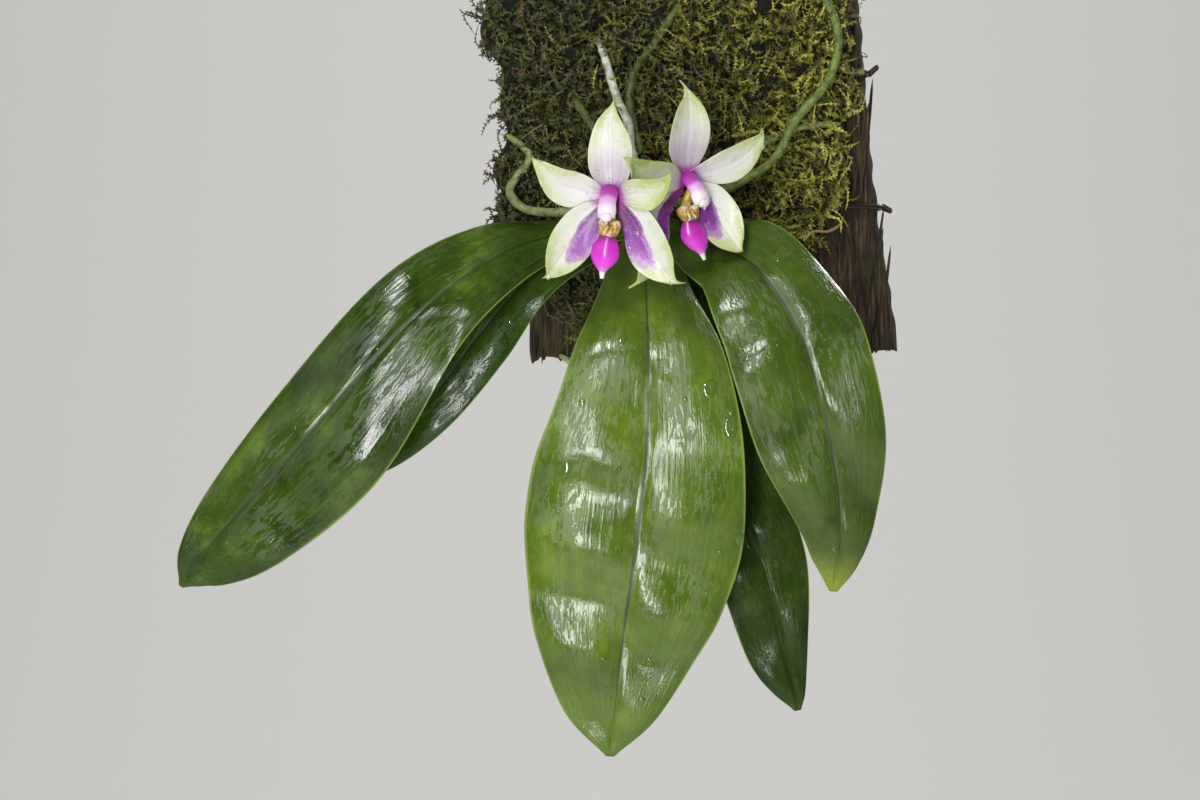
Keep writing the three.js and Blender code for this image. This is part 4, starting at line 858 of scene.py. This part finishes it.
def tepal_rings(bloom, rows, seed):
    """One sepal or petal: a fleshy blade between two margins, slightly rolled, with its point curled back."""
    facing = bloom_axes(bloom)[2]
    u, v = np.linspace(-0.05, 1, 76), np.sin(np.linspace(-1, 1, 35) * math.pi / 2)
    made = through(rows, u)
    middle = np.stack([(made[:, 0] + made[:, 2]) / 2, made[:, 4], (made[:, 1] + made[:, 3]) / 2], -1)
    half = np.stack([(made[:, 2] - made[:, 0]) / 2, 0 * u, (made[:, 3] - made[:, 1]) / 2], -1)
    half[:, 1] = -(half[:, 0] * facing[0] + half[:, 2] * facing[2]) / facing[1]
    wide = np.linalg.norm(half, axis=1)[:, None]
    roll = wide * (0.22 * v[None] ** 2 - 0.11)
    wave = 0.4 * np.sin(9 * u + 2 * seed)[:, None] * v[None] ** 2 * np.sin(math.pi * u.clip(0))[:, None]
    curl = 2.4 * np.clip((u - 0.84) / 0.16, 0, 1)[:, None] ** 2
    surface = middle[:, None] + half[:, None] * v[None, :, None] + facing * (roll + wave - curl)[..., None]
    thick = 0.5 * (1 - 0.3 * v[None] ** 2) * (1 - 0.6 * np.abs(v)[None] ** 10) + 0 * wide
    rib = 0.2 * np.exp(-((v[None] * wide / 0.6) ** 2)) * np.sin(math.pi * u.clip(0))[:, None]
    return (u.clip(0), v, *blade_rings(surface, thick - rib, thick + 1.4 * rib))


def tepal_skin(kind):
    """Waxy tepal skin of one kind: glossy, a little translucent, and white that turns lime at edges and tip.

    The two lower sepals have a violet tongue on the half that faces the lip, dark at its foot partly as their
    own colour and partly with painted shade from the column, and the others a faint flush at their foot.
    """
    material, tree, shader = new_material(
        f"tepal_{kind}", Roughness=0.36, Coat_Weight=0.2, Coat_Roughness=0.15,
        Subsurface_Weight=0.2, Subsurface_Radius=(1.0, 0.9, 0.6), Subsurface_Scale=0.0022)
    place, across, along = on_body(tree)
    fold = add(tree, "Math", {0: across}, operation="FRACT")
    under = add(tree, "Math", {0: across, 1: 1.0}, operation="GREATER_THAN")
    face = add(tree, "VectorMath", {0: place, 1: (13, 31, 0)}, operation="MULTIPLY")
    spot = millimetres(tree)
    cloud = add(tree, "Math", {0: pattern(tree, spot, (3.2, 3.2, 3.2)), 1: 0.5}, operation="SUBTRACT")
    grains = pattern(tree, spot, (0.32, 0.32, 0.32), 2)
    veins = pattern(tree, face, (0.9, 26, 1), 2)
    to_edge = add(tree, "Math", {0: fold, 1: 0.5}, operation="SUBTRACT")
    to_edge = add(tree, "Math", {0: to_edge}, operation="ABSOLUTE")
    limy = add(tree, "Math", {0: along, 1: 0.74}, operation="MULTIPLY")
    limy = add(tree, "Math", {0: to_edge, 1: 0.6, 2: limy}, operation="MULTIPLY_ADD")
    limy = add(tree, "Math", {0: cloud, 1: 0.5, 2: limy}, operation="MULTIPLY_ADD")
    limy = add(tree, "Math", {0: limy, 1: 0.22 if kind == "lime_petal" else 0.0}, operation="ADD")
    skin = add(tree, "ValToRGB", {0: limy}, stops=[
        (0.3, "d3d0ce"), (0.5, "ced1bf"), (0.7, "bbc492"), (0.9, "a2b066")])
    skin = stained(tree, skin, "b8c183", veins, [(0.55, 0.0), (0.75, 0.25)])
    if kind in ("left_lateral", "right_lateral"):
        inner = fold
        if kind == "right_lateral":
            inner = add(tree, "Math", {0: 1.0, 1: fold}, operation="SUBTRACT")
        tongue_middle, tongue_out, tongue_in, tongue_start, tongue_length = 0.3, 0.34, 0.42, 0.16, 0.45
        outward = add(tree, "Math", {0: inner, 1: tongue_middle}, operation="SUBTRACT")
        outward = add(tree, "Math", {0: outward, 1: tongue_out}, operation="DIVIDE")
        inward = add(tree, "Math", {0: tongue_middle, 1: inner}, operation="SUBTRACT")
        inward = add(tree, "Math", {0: inward, 1: tongue_in}, operation="DIVIDE")
        aside = add(tree, "Math", {0: outward, 1: inward}, operation="MAXIMUM")
        beyond = add(tree, "Math", {0: along, 1: tongue_start}, operation="SUBTRACT")
        beyond = add(tree, "Math", {0: beyond, 1: 0.0}, operation="MAXIMUM")
        beyond = add(tree, "Math", {0: beyond, 1: tongue_length}, operation="DIVIDE")
        far = add(tree, "Math", {0: beyond, 1: beyond}, operation="MULTIPLY")
        far = add(tree, "Math", {0: aside, 1: aside, 2: far}, operation="MULTIPLY_ADD")
        far = add(tree, "Math", {0: cloud, 1: 0.7, 2: far}, operation="MULTIPLY_ADD")
        stain = add(tree, "ValToRGB", {0: far}, stops=[(0.3, 0.95), (0.75, 0.6), (1.12, 0.0)])
        speckle = add(tree, "Math", {0: grains, 1: 2.0, 2: 0.15}, operation="MULTIPLY_ADD")
        strength = add(tree, "Math", {0: speckle, 1: stain}, operation="MULTIPLY")
        violet = add(tree, "Math", {0: cloud, 1: 0.3, 2: along}, operation="MULTIPLY_ADD")
        # The violet deepens towards the foot: partly the sepal's own colour and partly painted shade from the
        # column.
        violet = add(tree, "ValToRGB", {0: violet}, stops=[
            (0.12, "5c145a"), (0.32, "802594"), (0.6, "9a41ae")])
        skin = add(tree, "Mix", {0: strength, 6: skin, 7: violet}, 2, data_type="RGBA")
    else:
        reach = 0.48 if kind == "dorsal" else 0.26
        near = add(tree, "Math", {0: cloud, 1: 0.16, 2: along}, operation="MULTIPLY_ADD")
        near = add(tree, "Math", {0: veins, 1: 0.22, 2: near}, operation="MULTIPLY_ADD")
        near = add(tree, "Math", {0: near, 1: 0.11}, operation="SUBTRACT")
        skin = stained(tree, skin, "8d6a96", near, [(0.06, 0.75), (0.4 * reach, 0.45), (reach, 0.0)])
    skin = stained(tree, skin, "97208f", along, [(0.0, 1.0), (0.05, 0.8), (0.14, 0.0)])
    pale = add(tree, "Math", {0: under, 1: 0.5}, operation="MULTIPLY")
    skin = add(tree, "Mix", {0: pale, 6: skin, 7: "d3d9b4"}, 2, data_type="RGBA")
    tree.links.new(skin, shader.inputs["Base Color"])
    relief = add(tree, "Math", {0: veins, 1: cloud}, operation="ADD")
    relief = add(tree, "Math", {0: grains, 1: 0.5, 2: relief}, operation="MULTIPLY_ADD")
    tree.links.new(add(tree, "Bump", {"Height": relief, "Distance": 0.16 / 1000}), shader.inputs["Normal"])
    return material


# The stalk's skin comes last, for the ovary.
tepal_kinds = ("dorsal", "petal", "lime_petal", "left_lateral", "right_lateral")
tepal_skins = [tepal_skin(kind) for kind in tepal_kinds] + [stalk_skin]
tepal_faces = {}
for name, bloom in blooms.items():
    bodies = []
    for number, (kind, rows) in enumerate(bloom["tepals"]):
        u, v, rings, normal = tepal_rings(bloom, rows, number + len(name))
        bodies.append(ring_body(rings, blade_around(v), u, tepal_kinds.index(kind)))
        tepal_faces[f"{name}_{number}"] = (rings[:, : len(v)], normal)
    ovary = [bloom["at"], *bloom["ovary"]]
    rows = [(*p, 1.9 - 0.14 * i) for i, p in enumerate(ovary)]
    made = through(rows, np.linspace(0, 1, 60))
    ribs = 0.12 * np.abs(np.sin(np.linspace(0, 9, 60)))
    bodies.append(tube(made[:, :3], made[:, 3] + ribs, 18, material=len(tepal_kinds)))
    piece(f"{name}_petals", bodies, tepal_skins, [f"{name}_tepals"])


# The columns: a short arching pillar in each bloom, magenta at its foot and pinkish white above.
# It widens to the anther cap, with a small beak and the mouth of the stigma under it, dark with painted
# shade.
# Column flesh: glossy, thick and a little translucent.
column_skin, tree, shader = new_material("column_skin", Roughness=0.35, Subsurface_Weight=0.2,
                                         Subsurface_Radius=(1.0, 0.6, 0.8), Subsurface_Scale=0.0015)
_, _, along = on_body(tree)
cloud = pattern(tree, millimetres(tree), (1.2, 1.2, 1.2))
cloud = add(tree, "Math", {0: cloud, 1: 0.5}, operation="SUBTRACT")
along = add(tree, "Math", {0: cloud, 1: 0.12, 2: along}, operation="MULTIPLY_ADD")
skin = add(tree, "ValToRGB", {0: along}, stops=[
    (0.08, "9c2596"), (0.3, "b545ae"), (0.46, "d9a6d6"), (0.7, "e9dbe6"), (0.95, "e3d3dc")])
tree.links.new(skin, shader.inputs["Base Color"])
# The stigma: a sticky hollow, shown as small bodies whose dark colour is painted shade.
shaded_mouth, _, _ = new_material("stigma_mouth", Base_Color=colour("4d1b3f"), Roughness=0.3)
# Each station is up and forward from the bloom's centre, and the column's radius there.
column_stations = [(0.9, 0, 3.1), (-0.5, 3.4, 2.7), (-2.6, 6, 2.5), (-5.2, 7.6, 2.8), (-7.5, 8.3, 2.6)]


def ball(bloom, roll, centre, radii, material=0, along=0.9):
    """An egg-shaped body in the bloom's own frame."""
    rise = np.linspace(-math.pi / 2 + 0.05, math.pi / 2 - 0.05, 18)
    turns = np.linspace(0, 2 * math.pi, 24, endpoint=False)
    shape = np.stack([np.cos(rise)[:, None] * np.cos(turns), np.cos(rise)[:, None] * np.sin(turns),
                      np.sin(rise)[:, None] + 0 * turns], -1) * np.array(radii) + np.array(centre)
    return ring_body(in_bloom(bloom, shape, roll), along=np.full(18, along), material=material)


for name, bloom in blooms.items():
    roll = bloom["column_turn"]
    t = np.linspace(0, 1, 60)
    y, z, radius = through(column_stations, t).T
    line = np.stack([0 * y, y, z], -1)
    along = unit(np.gradient(line, axis=0))
    across = np.tile([1.0, 0, 0], (len(t), 1))
    other = np.cross(along, across)
    turns = np.linspace(0, 2 * math.pi, 56, endpoint=False)
    close = np.sqrt(np.clip(1 - ((t - 0.9) / 0.1).clip(0, 1) ** 3, 0.03, 1))
    close = close * np.sqrt(np.clip(t / 0.03, 0.2, 1))
    wings = 1 + 0.16 * np.abs(np.cos(turns))[None] ** 6 * np.sin(math.pi * t)[:, None]
    teeth = 1 + 0.1 * np.sin(9 * turns)[None] * np.clip((t - 0.86) / 0.1, 0, 1)[:, None]
    size = (radius * close)[:, None] * wings * teeth
    rings = line[:, None] + across[:, None] * (size * np.cos(turns))[..., None]
    rings = rings + other[:, None] * (0.8 * size * np.sin(turns))[..., None]
    column = ring_body(in_bloom(bloom, rings, roll), along=t)
    cap = ball(bloom, roll, (0, -6.6, 9.6), (2.0, 1.7, 1.2), along=0.97)
    beak = ball(bloom, roll, (0, -8.4, 9.3), (0.45, 0.7, 0.5), along=0.97)
    # The stigma's mouth: two small bodies coloured with painted shade.
    mouth = [ball(bloom, roll, (side * 0.8, -7.9, 9.9), (0.62, 0.26, 0.3), 1) for side in (-1, 1)]
    bodies = [column, cap, beak, *mouth]
    piece(f"{name}_column_skin", bodies, [column_skin, shaded_mouth], [f"{name}_column"])


# The lips: a claw under the column, two upright ochre side lobes round a forked callus, and the middle lobe,
# which is glossy magenta, keeled down its middle and drawn out to a small white point.
# Side-lobe flesh: satin ochre with fine red-brown flecks, cream at the top.
ochre, tree, shader = new_material("lip_side_lobes", Roughness=0.4, Subsurface_Weight=0.15,
                                   Subsurface_Scale=0.0012)
spot = millimetres(tree)
flecks = pattern(tree, spot, (0.5, 0.5, 0.5), 2)
cloud = pattern(tree, spot, (1.6, 1.6, 1.6), 2)
_, _, along = on_body(tree)
skin = add(tree, "ValToRGB", {0: cloud}, stops=[(0.3, "8c6a22"), (0.5, "b5923f"), (0.7, "cdb678")])
skin = stained(tree, skin, "dfd3b0", along, [(0.45, 0.0), (0.9, 0.75)])
skin = stained(tree, skin, "6e2f1a", flecks, [(0.6, 0.0), (0.68, 0.7)])
tree.links.new(skin, shader.inputs["Base Color"])
# Middle-lobe flesh: as glossy as lacquer, magenta, with a white point.
magenta, tree, shader = new_material("lip_middle_lobe", Roughness=0.3, Coat_Weight=0.3, Coat_Roughness=0.15,
                                     Subsurface_Weight=0.15, Subsurface_Radius=(1.0, 0.3, 0.9),
                                     Subsurface_Scale=0.0012)
_, _, along = on_body(tree)
cloud = pattern(tree, millimetres(tree), (1.5, 1.5, 1.5))
cloud = add(tree, "Math", {0: cloud, 1: 0.5}, operation="SUBTRACT")
along = add(tree, "Math", {0: cloud, 1: 0.1, 2: along}, operation="MULTIPLY_ADD")
skin = add(tree, "ValToRGB", {0: along}, stops=[
    (0.02, "d9b5d4"), (0.08, "821a74"), (0.3, "c02cb4"), (0.66, "d83fd0"), (0.8, "cf7fca"), (0.9, "e4dfe0")])
tree.links.new(skin, shader.inputs["Base Color"])
# Each row of the middle lobe is up and forward from the bloom's centre, and half its width there.
lip_rows = [(-13, 6.2, 1.5), (-15.2, 7, 3), (-17.6, 7.5, 4.4), (-20.2, 7.6, 4.7), (-22.9, 7.4, 3.4),
            (-25.1, 7.2, 1.2), (-27.6, 7.2, 0.4)]
# How far each lip hangs aside and above the line of its column, from its point back to its claw.
lip_shifts = {"bloom_left": ([0, 0.3, 1.8, 0], [0, 0.2, 1.2, 0]),
              "bloom_right": ([0.6, -2.2, -4, 0], [1.2, 1.3, 2.2, 0])}


def leaned(name, points):
    """Points of a lip, moved aside and up where the lip hangs out of line with its column."""
    points = np.array(points, float)
    aside, up = (np.interp(points[..., 1], [-27.6, -18, -11, -2.8], shift) for shift in lip_shifts[name])
    return points + np.stack([aside, up, 0 * up], -1)


for name, bloom in blooms.items():
    roll = bloom["lip_turn"]
    claw_rows = [(0, -2.8, 2.4, 1.6), (0, -7, 3.2, 1.5), (0, -11, 4.6, 1.7), (0, -14.4, 6.2, 1.6)]
    claw = through(claw_rows, np.linspace(0, 1, 30))
    bodies = [tube(in_bloom(bloom, leaned(name, claw[:, :3]), roll), claw[:, 3], 14)]
    rise, turns = np.linspace(-1.5, 1.5, 26), np.linspace(0, 2 * math.pi, 40, endpoint=False)
    square_x, square_z = (np.sign(a) * np.abs(a) ** 0.7 for a in (np.cos(turns), np.sin(turns)))
    for side in (-1, 1):
        wide = np.cos(rise)[:, None] ** 0.6
        lobe = np.stack([
            side * (1.85 + 0.25 * np.sin(rise)[:, None] + 1.75 * wide * square_x),
            -11.7 + 2.8 * np.sin(rise)[:, None] + 0.3 * wide * square_x,
            6.2 + 0.5 * np.sin(rise)[:, None] + (1.9 * square_z + 0.3 * np.sin(5 * turns)) * wide,
        ], -1)
        bodies.append(ring_body(in_bloom(bloom, leaned(name, lobe), roll), along=np.linspace(0, 1, 26)))
    for side in (-1, 1):
        tooth = [(0.6 * side, -11, 7.6), (0.85 * side, -12.3, 8.7), (1.1 * side, -13.2, 9.3)]
        tooth = through(tooth, np.linspace(0, 1, 16))
        bodies.append(tube(in_bloom(bloom, leaned(name, tooth), roll), np.linspace(0.9, 0.3, 16), 10))
    u, v = np.linspace(0, 1, 60), np.sin(np.linspace(-1, 1, 31) * math.pi / 2)
    y, z, half = through(lip_rows, u).T
    x = half[:, None] * v[None]
    keel = np.sin(math.pi * u)[:, None] * np.exp(-((v[None] / 0.22) ** 2)) * 0.6
    blade = np.stack([x, y[:, None] + 0 * x, z[:, None] - 0.4 * half[:, None] * v[None] ** 2], -1)
    plump = 0.55 + 0.75 * (1 - np.abs(v)[None] ** 1.6) * np.sin(math.pi * u)[:, None]
    plump = plump * (1 - 0.6 * np.abs(v)[None] ** 8)
    rings, _ = blade_rings(in_bloom(bloom, leaned(name, blade), roll), plump + keel, plump)
    bodies.append(ring_body(rings, blade_around(v), u, 1))
    piece(f"{name}_lip_skin", bodies, [ochre, magenta], [f"{name}_lip"])


# The water: clear drops left on the blooms and leaves by misting, each a low dome that clings where it fell.
# Five larger ones hang on the middle leaf.
def water(name, tint, alpha):
    """Clear water in small drops: mirror-smooth, and faintly the colour of what it lies on."""
    material, _, _ = new_material(name, Base_Color=colour(tint), Roughness=0.04, Alpha=alpha, Coat_Weight=1.0,
                                  Specular_IOR_Level=1.0, Coat_Roughness=0.03)
    return material


random = np.random.default_rng(77)
drops = []


def drop(surface, normal, radius, height, material, low=(0.18, 0.14), high=(0.88, 0.86), stretch=1.15):
    """A dome of water that follows a net of points, at a random place between two corners of the net."""
    rows, columns = surface.shape[:2]
    i = int(random.uniform(low[0], high[0]) * rows)
    j = int(random.uniform(low[1], high[1]) * columns)
    out = normal[i, j]
    side = unit(np.cross(out, [0.1, 0.2, 1.0]))
    other = np.cross(out, side)
    turns = np.linspace(0, 2 * math.pi, 20, endpoint=False)
    uneven = 1 + 0.1 * np.sin(2 * turns + random.uniform(0, 6))
    uneven = uneven + 0.05 * np.sin(3 * turns + random.uniform(0, 6))
    ring = side * np.cos(turns)[:, None] + other * stretch * np.sin(turns)[:, None]
    ring = ring * uneven[:, None]
    angles = np.linspace(0.0, math.pi / 2 - 0.06, 8)
    dome = [surface[i, j] + out * (height * radius * math.sin(a) - 0.06) + ring * radius * math.cos(a) ** 0.8
            for a in angles]
    drops.append(ring_body(np.array(dome), material=material))


for surface, normal in tepal_faces.values():
    for _ in range(9):
        drop(surface, normal, random.choice([0.22, 0.3, 0.4, 0.6, 0.85]), 0.7, 0)
drops_on = {"leaf_centre": 40, "leaf_right_front": 20, "leaf_left_front": 16, "leaf_left_back": 6}
for name, count in drops_on.items():
    for _ in range(count):
        drop(*facing_up[name], random.choice([0.3, 0.4, 0.5, 0.7, 0.9, 1.3]), 0.35, 1)
large_drops = [(0.377, 0.25, 2.4), (0.434, 0.177, 2.5), (0.51, 0.747, 2.2), (0.588, 0.1, 1.6),
               (0.3, 0.62, 1.5)]
for u, v, radius in large_drops:
    drop(*facing_up["leaf_centre"], radius, 0.26, 1, (u, v), (u, v), 1.45)
waters = [water("water_on_petals", "dde2d0", 0.25), water("water_on_leaves", "5a7f20", 0.4)]
piece("water_drops", drops, waters)


# The light: a soft key lamp above and in front, a tall strip and a low panel that mirror in the wet leaves,
# a weak broad fill from the left, a rim from behind, a lamp for the background paper, and a pale surround.
def lamp(name, place, target, size, watts):
    """A soft lamp that faces its target; size is a round one's width, or a panel's width and height."""
    data = bpy.data.lights.new(name, "AREA")
    data.energy = watts
    if isinstance(size, tuple):
        data.shape, data.size, data.size_y = "RECTANGLE", *size
    else:
        data.shape, data.size = "DISK", size
    made = bpy.data.objects.new(name, data)
    made.location = place
    aim = np.array(target, float) - np.array(place, float)
    made.rotation_euler = Vector(aim).to_track_quat("-Z", "Y").to_euler()
    bpy.context.scene.collection.objects.link(made)


middle_of_plant = (-0.02, -0.06, -0.1)
lamp("key", (-0.4, -1.2, 0.72), middle_of_plant, 0.34, 8.5)
lamp("strip", (-0.3, -1.45, -0.02), (-0.02, -0.06, -0.12), (0.15, 0.74), 9)
lamp("low", (-0.22, -1.35, -0.52), (-0.05, -0.06, -0.16), (0.2, 0.3), 5)
lamp("fill", (-1.3, -1.0, 0.1), middle_of_plant, 0.9, 2)
lamp("rim", (0.9, 0.9, 0.7), (0, 0, -0.05), 0.5, 7)
lamp("backdrop", (0, 1.6, 2.6), (0, 4.6, 0.2), 1.6, 78)
world = bpy.data.worlds.new("surround")
world.use_nodes = True
world.node_tree.nodes["Background"].inputs["Color"].default_value = colour("e9eaec")
world.node_tree.nodes["Background"].inputs["Strength"].default_value = 0.18
bpy.context.scene.world = world
bpy.context.scene.view_settings.view_transform = "Standard"


# The camera stands level with the leaves, about 1.2 m in front of the wall, and looks straight at it.
# A long lens takes in the blooms, the leaves and the lower slab.
camera = bpy.data.objects.new("camera", bpy.data.cameras.new("camera"))
camera.location = (-0.0295, -1.195, -0.1218)
camera.rotation_euler = (math.pi / 2, 0, 0)
camera.data.lens = 99
camera.data.sensor_width = 36
camera.data.clip_start = 0.01
camera.data.dof.use_dof = False
bpy.context.scene.collection.objects.link(camera)
bpy.context.scene.camera = camera
